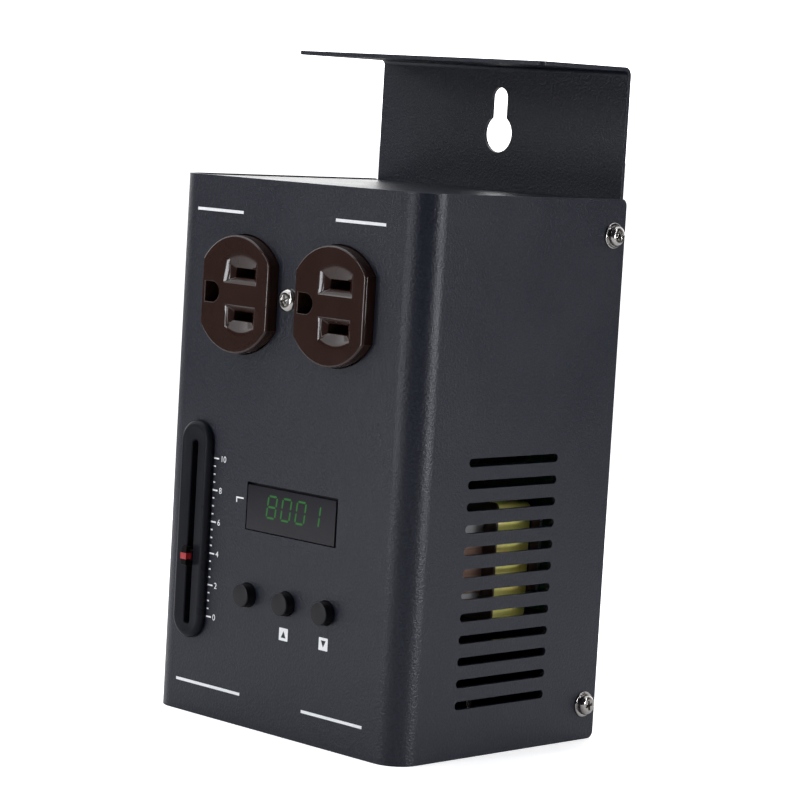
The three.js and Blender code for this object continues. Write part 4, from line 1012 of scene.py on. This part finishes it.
# %% Fader cap
cap_low, cap_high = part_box("fader_cap")
MARK_DEPTH = 0.06 * MM
MARK_LOW = 45.1 * MM
MARK_HIGH = 46.9 * MM
CAP_GROOVE = 0.35 * MM
BLADE_EDGE = 0.2 * MM


def fader_blade():
    """Narrow and tall, with its front face cut back towards the lower end."""
    bm = bmesh.new()
    low, high = cap_low.z, cap_high.z
    front, rear = cap_low.y + MARK_DEPTH, cap_high.y
    outline = [
        (front + CAP_GROOVE, low),
        (front, low + 2 * CAP_GROOVE),
        (front, MARK_LOW),
        (front, MARK_HIGH),
        (front + CAP_GROOVE / 2, high),
        (rear, high),
        (rear, low),
    ]
    add_plate(bm, [outline], "side", cap_low.x + MARK_DEPTH, cap_high.x - MARK_DEPTH)
    clean(bm)
    round_edges(bm, BLADE_EDGE, segments=3)
    return bm


def channel_outline(left, right, opening, back, wall):
    """A U of one wall thickness: two legs that end at the opening, and a back."""
    inner = back + math.copysign(wall, opening - back)
    outside = [(left, opening), (left, back), (right, back), (right, opening)]
    left, right = left + wall, right - wall
    return outside + [(right, opening), (right, inner), (left, inner), (left, opening)]


def fader_mark():
    bm = bmesh.new()
    outline = channel_outline(cap_low.x, cap_high.x, cap_high.y, cap_low.y, 2 * MARK_DEPTH)
    add_plate(bm, [outline], "floor", MARK_LOW, MARK_HIGH)
    clean(bm)
    return bm


make_piece(
    "fader_blade", fader_blade(), BLADE_BLACK, "fader", ["fader_cap"], flat_faces=True
)
make_piece("fader_mark", fader_mark(), CAP_RED, "fader")

# %% [markdown]
# ## Push buttons
#
# Each button is a turned shape: a collar that stops it behind the panel, a plain round cap with a
# softly rounded face, and a stem that presses its switch. The section is walked from the front of the
# cap to the end of the stem, one ring for each corner, and closed at both ends.

# %% Push buttons
BUTTON_DIAMETER = 6.6 * MM
BUTTON_ROUND = 0.35 * MM
STEM_DIAMETER = 3.4 * MM
COLLAR_DEPTH = 1 * MM


def push_button(node):
    bm = bmesh.new()
    low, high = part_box(node)
    x, z = (low.x + high.x) / 2, (low.z + high.z) / 2
    rim = reversed(round_over(BUTTON_ROUND, low.y))
    face = [(BUTTON_DIAMETER - 2 * inset, y) for inset, y in rim]
    collar_rear = INSIDE_FRONT + COLLAR_DEPTH
    collar = [
        (BUTTON_DIAMETER, INSIDE_FRONT),
        (high.x - low.x, INSIDE_FRONT),
        (high.x - low.x, collar_rear),
        (STEM_DIAMETER, collar_rear),
        (STEM_DIAMETER, high.y),
    ]
    rings = [(circle(x, z, diameter), y) for diameter, y in face + collar]
    join_rings(bm, rings, "front", ends="caps")
    clean(bm)
    return bm


for node in buttons:
    body = node.split("_")[0]
    make_piece(f"{node}_cap", push_button(node), BUTTON_BLACK, body, [node])

# %% [markdown]
# ## The display
#
# The window is smoked plastic that comes through its hole nearly up to the front face. It sits low
# and to the left in the hole, so a thin dark gap shows above it and to its right. It is so dark that
# only the lit digits show through it. It could be made see-through with the digits on the module, but a
# dark sheet over a black module then looks grainy. So it is solid, and the digits lie at its face,
# where their light comes out. They glow a dim green: seven-segment figures on a slight slant. Each
# segment is a flat bar with two pointed ends, sheared along with its digit. They show a plain number.

# %% Display window
WINDOW_GAP = 0.5 * MM
WINDOW_FACE = FRONT + 0.05 * MM
WINDOW_EDGE = 0.12 * MM


def smoked_plastic():
    material, shader = new_finish("smoked_plastic", (0.022, 0.020, 0.026), 0.08)
    vector = object_coordinates(material)
    smear = noise(material, vector, 6 * MM, detail=3)
    vary_color(material, shader, smear, (0.012, 0.012, 0.015), (0.017, 0.016, 0.020))
    vary_roughness(material, shader, smear, 0.05, 0.1)
    shader.inputs["Specular IOR Level"].default_value = 0.2
    return material


def window_plate():
    bm = bmesh.new()
    left, right = window_low.x, window_high.x
    low, high = window_low.z, window_high.z
    rim, gap = WINDOW_RIM, WINDOW_GAP
    inner = box_outline(left + rim, right - rim - gap, low + rim, high - rim - gap)
    outer = box_outline(left, right, low, high)
    rings = [(inner, WINDOW_FACE), (inner, INSIDE_FRONT)]
    rings += [(outer, INSIDE_FRONT), (outer, window_high.y)]
    join_rings(bm, rings, "front", ends="caps")
    clean(bm)
    round_edges(bm, WINDOW_EDGE)
    return bm


SMOKED_PLASTIC = smoked_plastic()
make_piece(
    "window_plate",
    window_plate(),
    SMOKED_PLASTIC,
    "case",
    ["display_window"],
    flat_faces=True,
)

# %% Segments of a digit
SHOWN_NUMBER = "8001"
DIGIT_HEIGHT = 6.2 * MM
DIGIT_WIDTH = 3.5 * MM
DIGIT_STROKE = 0.56 * MM
DIGIT_SLANT = 0.12
DIGIT_LOW = 61.1 * MM
SEGMENT_GAP = 0.22 * MM
# Both ends of each segment, in shares of a digit's width and height
SEGMENTS = {
    "top": (0, 1, 1, 1),
    "upper_right": (1, 1, 1, 0.5),
    "lower_right": (1, 0.5, 1, 0),
    "bottom": (0, 0, 1, 0),
    "lower_left": (0, 0, 0, 0.5),
    "upper_left": (0, 0.5, 0, 1),
    "middle": (0, 0.5, 1, 0.5),
}
LIT = {
    "0": ["top", "upper_right", "lower_right", "bottom", "lower_left", "upper_left"],
    "1": ["upper_right", "lower_right"],
    "8": list(SEGMENTS),
}


def segment_outline(ends, left):
    """A bar with pointed ends, leaning with the digit."""
    u0, v0, u1, v1 = ends
    a = Vector((u0 * DIGIT_WIDTH, v0 * DIGIT_HEIGHT))
    b = Vector((u1 * DIGIT_WIDTH, v1 * DIGIT_HEIGHT))
    along = (b - a).normalized()
    across = Vector((-along.y, along.x)) * DIGIT_STROKE / 2
    a += along * SEGMENT_GAP
    b -= along * SEGMENT_GAP
    near, far = a + along * DIGIT_STROKE / 2, b - along * DIGIT_STROKE / 2
    corners = [a, near - across, far - across, b, far + across, near + across]
    return [(left + p.x + DIGIT_SLANT * p.y, DIGIT_LOW + p.y) for p in corners]


print("lit segments:", sum(len(LIT[digit]) for digit in SHOWN_NUMBER))

# %% Display digits
DIGIT_PROUD = 0.02 * MM
DIGIT_DEPTH = 0.1 * MM
DIGIT_PITCH = 5.95 * MM
FIRST_DIGIT = -5.8 * MM
DIGIT_GLOW = 0.13


def green_light():
    material, shader = new_finish("green_light", (0.01, 0.05, 0.012), 0.4)
    vector = object_coordinates(material)
    patch = noise(material, vector, 1.5 * MM)
    glow = blend_colors(material, patch, (0.01, 0.50, 0.015), (0.03, 0.72, 0.03))
    link(material, glow, shader.inputs["Emission Color"])
    shader.inputs["Emission Strength"].default_value = DIGIT_GLOW
    shader.inputs["Specular IOR Level"].default_value = 0.2
    vary_roughness(material, shader, patch, 0.35, 0.5)
    return material


def display_digits():
    bm = bmesh.new()
    front, rear = WINDOW_FACE - DIGIT_PROUD, WINDOW_FACE + DIGIT_DEPTH
    for index, digit in enumerate(SHOWN_NUMBER):
        left = FIRST_DIGIT + index * DIGIT_PITCH
        for name in LIT[digit]:
            add_plate(bm, [segment_outline(SEGMENTS[name], left)], "front", front, rear)
    clean(bm)
    return bm


GREEN_LIGHT = green_light()
make_piece("display_digits", display_digits(), GREEN_LIGHT, "case")

# %% [markdown]
# ## Printed marks
#
# The front is screen printed in white: two short lines at the top and two at the bottom, the fader's
# scale with its numbers, a small corner mark beside the display, and an arrow on a white square under
# two of the buttons. Ink is a very thin raised layer, so each mark is a plate a few hundredths thick on
# the paint. The numbers are text, turned into a mesh before it is put in its place.

# %% White ink
INK_THICKNESS = 0.02 * MM


def white_ink():
    material, shader = new_finish("white_ink", (0.78, 0.78, 0.78), 0.5)
    vector = object_coordinates(material)
    patch = noise(material, vector, 1.2 * MM, detail=4)
    vary_color(material, shader, patch, (0.66, 0.67, 0.68), (0.84, 0.84, 0.84))
    grain = noise(material, vector, COAT_GRAIN, detail=3)
    bump(material, shader, grain, 0.03 * MM, strength=0.4)
    return material


WHITE_INK = white_ink()
print("finish:", WHITE_INK.name)

# %% Printed marks
# Left, right and height of each line, in millimetres
LONG_LINES = [(-41.6, -22.0, 146.1), (15.9, 35.6, 146.6), (-40.7, -13.0, 9.0), (12.8, 37.3, 8.9)]
LINE_THICKNESS = 0.85 * MM
SCALE_ZERO = 29.1 * MM
SCALE_STEP = 9.2 * MM
SCALE_MARKS = 6
TICK_LEFT = -29.0 * MM
TICK_RIGHT = -26.9 * MM
TICK_THICKNESS = 0.45 * MM
DOT_LEFT = -28.9 * MM
DOT_WIDTH = 0.8 * MM
DOT_THICKNESS = 0.42 * MM
BRACKET_LEFT = -18.7 * MM
BRACKET_RIGHT = -15.6 * MM
BRACKET_TOP = 65.4 * MM
BRACKET_DROP = 1.6 * MM
SQUARE_HALF = 1.8 * MM
SQUARE_CORNER = 0.25 * MM
# Middle of each square, and 1 for an arrow that points up
ARROW_SQUARES = [(4.0 * MM, 29.2 * MM, 1), (20.3 * MM, 29.2 * MM, -1)]
ARROW_HALF = 1.0 * MM


def print_marks(bm, outlines):
    add_plate(bm, outlines, "front", FRONT - INK_THICKNESS, FRONT)


def print_bar(bm, left, right, z, thickness):
    print_marks(bm, [box_outline(left, right, z - thickness / 2, z + thickness / 2)])


def bracket_outline():
    left, right, top = BRACKET_LEFT, BRACKET_RIGHT, BRACKET_TOP
    inner, under, low = left + DOT_THICKNESS, top - DOT_THICKNESS, top - BRACKET_DROP
    return [(left, top), (right, top), (right, under), (inner, under), (inner, low), (left, low)]


def printed_lines():
    bm = bmesh.new()
    for left, right, z in LONG_LINES:
        print_bar(bm, left * MM, right * MM, z * MM, LINE_THICKNESS)
    for index in range(SCALE_MARKS):
        print_bar(bm, TICK_LEFT, TICK_RIGHT, SCALE_ZERO + index * SCALE_STEP, TICK_THICKNESS)
    for index in range(SCALE_MARKS - 1):
        for quarter in (1, 2, 3):
            z = SCALE_ZERO + (index + quarter / 4) * SCALE_STEP
            print_bar(bm, DOT_LEFT, DOT_LEFT + DOT_WIDTH, z, DOT_THICKNESS)
    print_marks(bm, [bracket_outline()])
    half = SQUARE_HALF
    for x, z, lean in ARROW_SQUARES:
        square = rounded_box(x - half, x + half, z - half, z + half, SQUARE_CORNER, 4)
        tip, foot = z + lean * ARROW_HALF, z - lean * ARROW_HALF
        arrow = [(x, tip), (x - ARROW_HALF, foot), (x + ARROW_HALF, foot)]
        print_marks(bm, [square, arrow])
    clean(bm)
    return bm


make_piece("printed_lines", printed_lines(), WHITE_INK, "case")

# %% Scale numbers
NUMBER_LEFT = -26.3 * MM
NUMBER_HEIGHT = 1.75 * MM
# The height of a figure as a share of its text size
FIGURE_SHARE = 0.7


def scale_numbers():
    bm = bmesh.new()
    stand = Matrix.Rotation(QUARTER_TURN, 4, "X")
    for index in range(SCALE_MARKS):
        text = bpy.data.curves.new("scale_number", "FONT")
        text.body = str(2 * index)
        text.size = NUMBER_HEIGHT / FIGURE_SHARE
        text.align_y = "CENTER"
        text.extrude = INK_THICKNESS / 2
        words = bpy.data.objects.new("scale_number", text)
        bpy.context.scene.collection.objects.link(words)
        mesh = bpy.data.meshes.new_from_object(words)
        bpy.data.objects.remove(words)
        bpy.data.curves.remove(text)
        z = SCALE_ZERO + index * SCALE_STEP
        place = Matrix.Translation((NUMBER_LEFT, FRONT - INK_THICKNESS / 2, z))
        mesh.transform(place @ stand)
        bm.from_mesh(mesh)
        bpy.data.meshes.remove(mesh)
    clean(bm)
    return bm


make_piece("scale_numbers", scale_numbers(), WHITE_INK, "case")

# %% [markdown]
# ## The transformer behind the vents
#
# Through the right side's vents one sees a coil wrapped in pale yellow tape, the dark cheek of its
# bobbin, and one leg of the steel core between two bright strips. The core is a stack of thin plates,
# so its colour varies in fine layers. The tape is slightly glossy, and each turn overlaps the one
# before, so the coil is rings that step in and out a little. It hangs two millimetres low, so that the
# tape shows in six vents. Cheeks close both of its ends; their dark brown is partly the bobbin's own
# colour and partly painted shade on the coil's end.

# %% Finishes for the transformer
def wound_tape():
    material, shader = new_finish("wound_tape", (0.84, 0.76, 0.20), 0.32)
    vector = object_coordinates(material, stretch=(1, 1, 0.15))
    layer = noise(material, vector, 1.4 * MM, detail=3)
    vary_color(material, shader, layer, (0.76, 0.68, 0.14), (0.90, 0.83, 0.26))
    vary_roughness(material, shader, layer, 0.26, 0.42)
    shader.inputs["Subsurface Weight"].default_value = 0.15
    shader.inputs["Subsurface Scale"].default_value = 0.6 * MM
    bump(material, shader, layer, 0.05 * MM, strength=0.5)
    return material


def stacked_plates():
    material, shader = new_finish("stacked_plates", (0.42, 0.25, 0.19), 0.42, metallic=0.55)
    vector = object_coordinates(material, stretch=(0.02, 0.02, 1))
    layer = noise(material, vector, 0.45 * MM)
    stain = noise(material, object_coordinates(material), 2.5 * MM, detail=4)
    vary_color(material, shader, layer, (0.34, 0.19, 0.14), (0.56, 0.36, 0.28))
    vary_roughness(material, shader, stain, 0.32, 0.58)
    bump(material, shader, layer, 0.06 * MM, strength=0.7)
    return material


WOUND_TAPE = wound_tape()
STACKED_PLATES = stacked_plates()
# Dark brown, partly the bobbin's own colour and partly painted shade on the coil's end.
BOBBIN_BROWN_AND_SHADE = moulded_plastic("bobbin_brown_and_shade", (0.030, 0.016, 0.010), (0.045, 0.024, 0.014), 0.5)
print("finishes:", WOUND_TAPE.name, STACKED_PLATES.name, BOBBIN_BROWN_AND_SHADE.name)

# %% Coils
WINDING_BUILD = 5 * MM
CHEEK_THICKNESS = 0.8 * MM
CHEEK_CORNER = 1.5 * MM
CHEEK_EDGE = 0.1 * MM
COIL_CORNER = 1.6 * MM
BORE_CORNER = 0.4 * MM
COIL_DROP = 2 * MM
REAR_CHEEK_INSET = 0.7 * MM
# Share of the coil's length, and inset in millimetres
TAPE_STEPS = [(0, 0.6), (0.03, 0.4), (0.33, 0.3), (0.34, 0.4)]
TAPE_STEPS += [(0.66, 0.32), (0.67, 0.42), (0.97, 0.45), (1, 0.65)]


def ring_in_front(low, high, inset, corner):
    return rounded_box(low.x + inset, high.x - inset, low.z + inset, high.z - inset, corner)


def coil_bore(low, high):
    """The hole for the core's leg."""
    return ring_in_front(low, high, WINDING_BUILD - GAP, BORE_CORNER)


def taped_coil(low, high):
    """A tape-wrapped tube round one leg of the core."""
    bm = bmesh.new()
    start = low.y + CHEEK_THICKNESS
    length = high.y - low.y - 2 * CHEEK_THICKNESS
    bore = coil_bore(low, high)
    rings = [(bore, start)]
    for share, inset in TAPE_STEPS:
        rings.append((ring_in_front(low, high, inset * MM, COIL_CORNER), start + share * length))
    rings.append((bore, start + length))
    join_rings(bm, rings, "front", ends="loop")
    clean(bm)
    return bm


def coil_cheeks(low, high):
    """A thin end plate in front of the coil and one behind it."""
    bm = bmesh.new()
    bore = coil_bore(low, high)
    for inset, y in ((0, low.y), (REAR_CHEEK_INSET, high.y - CHEEK_THICKNESS)):
        outer = ring_in_front(low, high, inset, CHEEK_CORNER)
        add_plate(bm, [outer, bore], "front", y, y + CHEEK_THICKNESS)
    clean(bm)
    round_edges(bm, CHEEK_EDGE)
    return bm


for node in ("near_winding", "far_winding"):
    low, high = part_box(node)
    low.z -= COIL_DROP
    make_piece(f"{node}_coil", taped_coil(low, high), WOUND_TAPE, "case", [node])
    make_piece(f"{node}_cheeks", coil_cheeks(low, high), BOBBIN_BROWN_AND_SHADE, "case")

# %% [markdown]
# ## Softened copies
#
# Some shapes of the engineering model are already right, but their edges are razor sharp. For those a
# copy of the mesh is enough: its loose triangles are merged, flat areas become single faces again,
# and then the sharp edges can take a small bevel. The original stays as it is and is hidden.

# %% Softened copies
CUT_EDGE = 0.15 * MM
CLAMP_EDGE = 0.12 * MM


def softened_copy(node, material, width, body="case", others=()):
    """others are pairs of a finish and a test. A face gets the finish if all its corners pass."""
    bm = bmesh.new()
    bm.from_mesh(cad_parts[node].data)
    clean(bm)
    round_edges(bm, width)
    piece = make_piece(f"{node}_softened", bm, material, body, [node], flat_faces=True)
    mesh = piece.data
    for finish, belongs in others:
        mesh.materials.append(finish)
        for face in mesh.polygons:
            if all(belongs(mesh.vertices[index].co) for index in face.vertices):
                face.material_index = len(mesh.materials) - 1


softened_copy("transformer_core", STACKED_PLATES, CUT_EDGE)
softened_copy("transformer_clamp", ZINC, CLAMP_EDGE)

# %% Strips on the core's front leg
core_low, core_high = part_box("transformer_core")
CORE_LEG = 8 * MM
STRIP = 0.5 * MM
STRIP_EDGE = 0.08 * MM
TOP_FOLD = 3.7 * MM
BOTTOM_FOLD = 1.1 * MM


def core_strips():
    """Two shallow channels that hold the stack's top and bottom together."""
    bm = bmesh.new()
    left, right = core_low.x - STRIP, core_high.x + STRIP
    for edge, way, fold in ((core_high.z, 1, TOP_FOLD), (core_low.z, -1, BOTTOM_FOLD)):
        outline = channel_outline(left, right, edge - way * fold, edge + way * STRIP, STRIP)
        add_plate(bm, [outline], "front", core_low.y, core_low.y + CORE_LEG - GAP)
    clean(bm)
    round_edges(bm, STRIP_EDGE)
    return bm


make_piece("core_strips", core_strips(), ZINC, "case", flat_faces=True)

# %% [markdown]
# ## The underside
#
# All connectors face down. The mains inlet is black moulding with three flat pins and a fuse drawer.
# The control connectors are nickel plated shells with black insides and bright contacts. One
# softened copy can carry several finishes, because each face asks for its own by where it lies.

# %% Connectors
INLET_EDGE = 0.2 * MM
INLET_PINS = (-7 * MM, 0, 7 * MM)
PIN_HALF_WIDTH = 1.2 * MM
PIN_HALF_REACH = 4.1 * MM
PIN_ROW_Y = middle_of("power_inlet").y - 4.4 * MM
PIN_LOW = 3 * MM
PIN_REAR_LOW = 27.5 * MM
BORE_RADIUS = 9.25 * MM
CONTACT_CIRCLE = 5.1 * MM
CONTACT_RADII = {"control_input": 1.4 * MM, "control_output": 1.55 * MM}
GOLD = plated_metal("gold_plate", (0.62, 0.42, 0.12), (0.78, 0.56, 0.20), 0.24)


def is_inlet_pin(place):
    """The recess is roomy, so what stands in its middle, or above the body, is a pin."""
    in_row = any(abs(place.x - x) < PIN_HALF_WIDTH for x in INLET_PINS)
    in_recess = abs(place.y - PIN_ROW_Y) < PIN_HALF_REACH and place.z > PIN_LOW
    return in_row and (in_recess or place.z > PIN_REAR_LOW)


def close_to(axes, radius):
    """A test for points that lie within a radius of one of some upright axes."""
    return lambda place: any(math.hypot(place.x - x, place.y - y) < radius for x, y in axes)


def contact_axes(middle):
    """Three contacts stand on a circle round the connector's axis."""
    angles = [(index / 3 + 0.25) * math.tau for index in range(3)]
    reach = CONTACT_CIRCLE
    return [(middle.x + reach * math.cos(a), middle.y + reach * math.sin(a)) for a in angles]


softened_copy(
    "power_inlet", DEEP_BLACK, INLET_EDGE, others=[(NICKEL, is_inlet_pin)]
)
softened_copy("fuse_drawer", DEEP_BLACK, CUT_EDGE, "drawer")
for node, radius in CONTACT_RADII.items():
    middle = middle_of(node)
    inside = close_to([(middle.x, middle.y)], BORE_RADIUS)
    contact = close_to(contact_axes(middle), radius)
    others = [(DEEP_BLACK, inside), (GOLD, contact)]
    softened_copy(node, NICKEL, CUT_EDGE, others=others)
softened_copy("release_latch", ZINC, CUT_EDGE, "latch")

# %% Screws of the connectors
SMALL_SCREW = ((5.4 * MM, 1.3 * MM), (5.4 * MM, 0.3 * MM), (3 * MM, 7 * MM))
small_head, small_washer, _ = SMALL_SCREW
panel_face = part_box("inlet_screw_left")[0].z + small_head[1] + small_washer[1]
for index, node in enumerate(bottom_screws):
    turn = 0.3 + 0.7 * index
    screw_piece(node, "floor", panel_face, -1, SMALL_SCREW, turn)

# %% [markdown]
# ## Finishes for what stays hidden
#
# The rest of the inside is hardly seen, but it may be looked at on its own. These pieces keep the
# engineering model's shapes and only get a better material. A circuit board is a weave of glass under a
# green lacquer, the heatsink is drawn aluminium with its grain along the fins, and the choke is copper
# wire, so its bump runs in turns round the ring, and its colour with painted shade between the turns.

# %% Circuit board
TRACK_SIZE = 9 * MM


def circuit_board():
    material, shader = new_finish("circuit_board", (0.008, 0.06, 0.022), 0.36)
    vector = object_coordinates(material)
    track = add_node(material, "ShaderNodeTexBrick")
    track.inputs["Scale"].default_value = 1 / TRACK_SIZE
    track.inputs["Mortar Size"].default_value = 0.03
    track.inputs["Color1"].default_value = (0.006, 0.050, 0.018, 1)
    track.inputs["Color2"].default_value = (0.008, 0.060, 0.022, 1)
    track.inputs["Mortar"].default_value = (0.02, 0.10, 0.035, 1)
    stand = add_node(material, "ShaderNodeMapping")
    stand.inputs["Rotation"].default_value = (QUARTER_TURN, 0, 0)
    link(material, vector, stand.inputs["Vector"])
    link(material, stand.outputs["Vector"], track.inputs["Vector"])
    link(material, track.outputs["Color"], shader.inputs["Base Color"])
    weave = noise(material, vector, 0.5 * MM)
    vary_roughness(material, shader, weave, 0.30, 0.42)
    bump(material, shader, weave, 0.02 * MM, strength=0.4)
    return material


CIRCUIT_BOARD = circuit_board()
print("finish:", CIRCUIT_BOARD.name)

# %% Copper, glass and wires
COPPER_TURN_COUNT = 48


def copper_turns():
    """The angle round the ring, times the number of turns, gives a wave with one crest a turn."""
    material, shader = new_finish("copper_turns", (0.50, 0.16, 0.05), 0.28, metallic=0.9)
    vector = object_coordinates(material)
    place = add_node(material, "ShaderNodeMapping")
    place.inputs["Location"].default_value = -middle_of("suppression_choke")
    link(material, vector, place.inputs["Vector"])
    split = add_node(material, "ShaderNodeSeparateXYZ")
    link(material, place.outputs["Vector"], split.inputs["Vector"])
    angle = add_node(material, "ShaderNodeMath", operation="ARCTAN2")
    link(material, split.outputs["Z"], angle.inputs[0])
    link(material, split.outputs["X"], angle.inputs[1])
    turns = add_node(material, "ShaderNodeMath", operation="MULTIPLY")
    turns.inputs[1].default_value = COPPER_TURN_COUNT
    link(material, angle.outputs["Value"], turns.inputs[0])
    wave = add_node(material, "ShaderNodeMath", operation="SINE")
    link(material, turns.outputs["Value"], wave.inputs[0])
    height = spread(material, wave.outputs["Value"], 0, 1, start=-1, end=1)
    # The colour follows the wave, darker in the troughs between turns: painted shade.
    vary_color(material, shader, height, (0.20, 0.05, 0.015), (0.60, 0.22, 0.07))
    bump(material, shader, height, 0.3 * MM)
    return material


def clear_glass():
    material, shader = new_finish("clear_glass", (0.86, 0.90, 0.89), 0.05)
    shader.inputs["Transmission Weight"].default_value = 1.0
    smear = noise(material, object_coordinates(material), 2 * MM)
    vary_roughness(material, shader, smear, 0.03, 0.08)
    return material


COPPER_TURNS = copper_turns()
CLEAR_GLASS = clear_glass()
RIBBON_GREY = moulded_plastic(
    "ribbon_grey", (0.30, 0.31, 0.32), (0.40, 0.41, 0.42), 0.5, 1.3 * MM, 0.05 * MM
)
WIRE_BROWN = moulded_plastic("wire_brown", (0.10, 0.045, 0.02), (0.14, 0.065, 0.03), 0.4)
WIRE_BLUE = moulded_plastic("wire_blue", (0.02, 0.07, 0.28), (0.03, 0.10, 0.36), 0.4)
print("finishes:", COPPER_TURNS.name, CLEAR_GLASS.name, RIBBON_GREY.name)

# %% Hidden pieces
hidden_finishes = {
    DEEP_BLACK: ["outlet_rear_housing", "triac", "supply_capacitor"],
    DISPLAY_BLACK: ["led_display"],
    ZINC: ["outlet_strap", "fader_body", "fader_lever"],
    BRASS: ["hot_contact", "neutral_contact", "ground_contact"],
    CIRCUIT_BOARD: ["control_board", "power_board"],
    SWITCH_GREY: ["menu_switch", "up_switch", "down_switch"],
    DRAWN_ALUMINIUM: ["heatsink"],
    COPPER_TURNS: ["suppression_choke"],
    TERMINAL_GREEN: ["terminal_block"],
    RIBBON_GREY: ["ribbon_cable"],
    WIRE_BROWN: ["line_wire"],
    WIRE_BLUE: ["neutral_wire"],
    CLEAR_GLASS: ["fuse"],
    NICKEL: [f"control_board_screw_{number}" for number in range(1, 5)] + board_posts,
}
for finish, nodes in hidden_finishes.items():
    for node in nodes:
        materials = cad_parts[node].data.materials
        if len(materials) == 0:
            materials.append(finish)
        for index in range(len(materials)):
            materials[index] = finish
print("nodes finished:", sum(len(nodes) for nodes in hidden_finishes.values()))

# %% [markdown]
# ## The stage
#
# The object stands on white paper in front of a white wall. The paper ends about half a metre away on a
# dark table, and the room is dim elsewhere, so the glossy black faces reflect something dark and stay
# black. It could be lit evenly all round, but then the rounded corners would have no shape. Two soft
# lights hang over either side and light the top, and a large one stands to the left of the front. Two
# thin strips draw the bright lines along the bends and in the pressed pockets. Two low lights reach the
# foot of the case and the coil behind the vents.
#
# To the camera the floor glows, so that it is white to its far edge. It glows less close to the object,
# where it has to show a shadow.

# %% Floor
FLOOR_SIZE = 8
PAPER = (0.85, 0.85, 0.85)
TABLE = (0.12, 0.12, 0.12)
PAPER_EDGE = 0.42
TABLE_START = 0.62
PAPER_PATCH = 0.3
GLOW_NEAR = 0.55
GLOW_FAR = 1.0
GLOW_START = 0.15
GLOW_END = 0.55


def floor_paper():
    material, shader = new_finish("floor_paper", PAPER, 0.8)
    vector = object_coordinates(material)
    vary_roughness(material, shader, noise(material, vector, PAPER_PATCH), 0.75, 0.85)
    length = add_node(material, "ShaderNodeVectorMath", operation="LENGTH")
    link(material, vector, length.inputs[0])
    reach = length.outputs["Value"]
    table = spread(material, reach, 0, 1, start=PAPER_EDGE, end=TABLE_START)
    vary_color(material, shader, table, PAPER, TABLE)
    glow = spread(material, reach, GLOW_NEAR, GLOW_FAR, start=GLOW_START, end=GLOW_END)
    seen = add_node(material, "ShaderNodeMath", operation="MULTIPLY")
    path = add_node(material, "ShaderNodeLightPath")
    link(material, glow, seen.inputs[0])
    link(material, path.outputs["Is Camera Ray"], seen.inputs[1])
    shader.inputs["Emission Color"].default_value = (1, 1, 1, 1)
    link(material, seen.outputs["Value"], shader.inputs["Emission Strength"])
    return material


def add_floor():
    bm = bmesh.new()
    square = box_outline(-FLOOR_SIZE, FLOOR_SIZE, -FLOOR_SIZE, FLOOR_SIZE)
    add_plate(bm, [square], "floor", 0, -MM)
    clean(bm)
    mesh = bpy.data.meshes.new("floor")
    bm.to_mesh(mesh)
    bm.free()
    mesh.materials.append(floor_paper())
    floor = bpy.data.objects.new("floor", mesh)
    bpy.context.scene.collection.objects.link(floor)
    floor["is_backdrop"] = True


add_floor()
print("floor:", 2 * FLOOR_SIZE, "metres across")

# %% Room
ROOM_DIM = 0.03
ROOM_BEHIND = 2.8
BEHIND = (-0.7, 0.7, 0)


def add_room():
    """White to the camera and behind the object, dim elsewhere. A world takes the same helpers."""
    world = bpy.data.worlds.new("studio")
    world.use_nodes = True
    background = world.node_tree.nodes["Background"]
    coordinates = add_node(world, "ShaderNodeTexCoord")
    facing = add_node(world, "ShaderNodeVectorMath", operation="DOT_PRODUCT")
    facing.inputs[1].default_value = BEHIND
    link(world, coordinates.outputs["Generated"], facing.inputs[0])
    bright = spread(world, facing.outputs["Value"], ROOM_DIM, ROOM_BEHIND, start=0.1, end=0.9)
    path = add_node(world, "ShaderNodeLightPath")
    seen = add_node(world, "ShaderNodeMath", operation="MAXIMUM")
    link(world, path.outputs["Is Camera Ray"], seen.inputs[0])
    link(world, bright, seen.inputs[1])
    background.inputs["Color"].default_value = (1, 1, 1, 1)
    link(world, seen.outputs["Value"], background.inputs["Strength"])
    bpy.context.scene.world = world


add_room()
print("room:", bpy.context.scene.world.name)

# %% Lamps
OBJECT_MIDDLE = Vector((0, 0, 0.1))
LAMP_COLOR = (0.94, 0.955, 1)
# Azimuth in degrees, height, distance, width and height of the lamp in metres, and watts
SOFTBOXES = {
    "over_left_softbox": (-45, 0.7, 0.35, (0.5, 0.5), 2.1),
    "over_right_softbox": (135, 0.7, 0.35, (0.5, 0.5), 1.2),
    "left_softbox": (-45, 0.7, 1.2, (0.9, 0.7), 4.2),
    "front_strip": (-5, 0.4, 0.75, (0.06, 0.78), 2.0),
    "side_strip": (112, 0.4, 0.8, (0.08, 0.78), 1.6),
    "low_side_softbox": (103, 0.09, 1.0, (0.25, 0.12), 3.7),
    "low_front_softbox": (-24, 0.06, 0.8, (0.2, 0.1), 1.0),
}


def add_softbox(name, azimuth, height, distance, size, power):
    """A rectangle of light that faces the object. Azimuth 0 is in front of it."""
    turn = math.radians(azimuth)
    place = Vector((math.sin(turn) * distance, -math.cos(turn) * distance, height))
    data = bpy.data.lights.new(name, "AREA")
    data.shape = "RECTANGLE"
    data.size, data.size_y = size
    data.energy = power
    data.color = LAMP_COLOR
    light = bpy.data.objects.new(name, data)
    light.location = place
    light.rotation_mode = "QUATERNION"
    light.rotation_quaternion = (place - OBJECT_MIDDLE).to_track_quat("Z", "Y")
    light.visible_camera = False
    bpy.context.scene.collection.objects.link(light)


for name, settings in SOFTBOXES.items():
    add_softbox(name, *settings)
bpy.context.scene.view_settings.view_transform = "Standard"
print("lamps:", len(SOFTBOXES))

# %% [markdown]
# ## Sizes, and the end
#
# The finer shapes must not make the object grow, so the box of the dressed object is printed at the
# end.

# %% Write the sizes and finish
low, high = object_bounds()
print("visual size:", [round(v / MM, 2) for v in high - low], "mm")
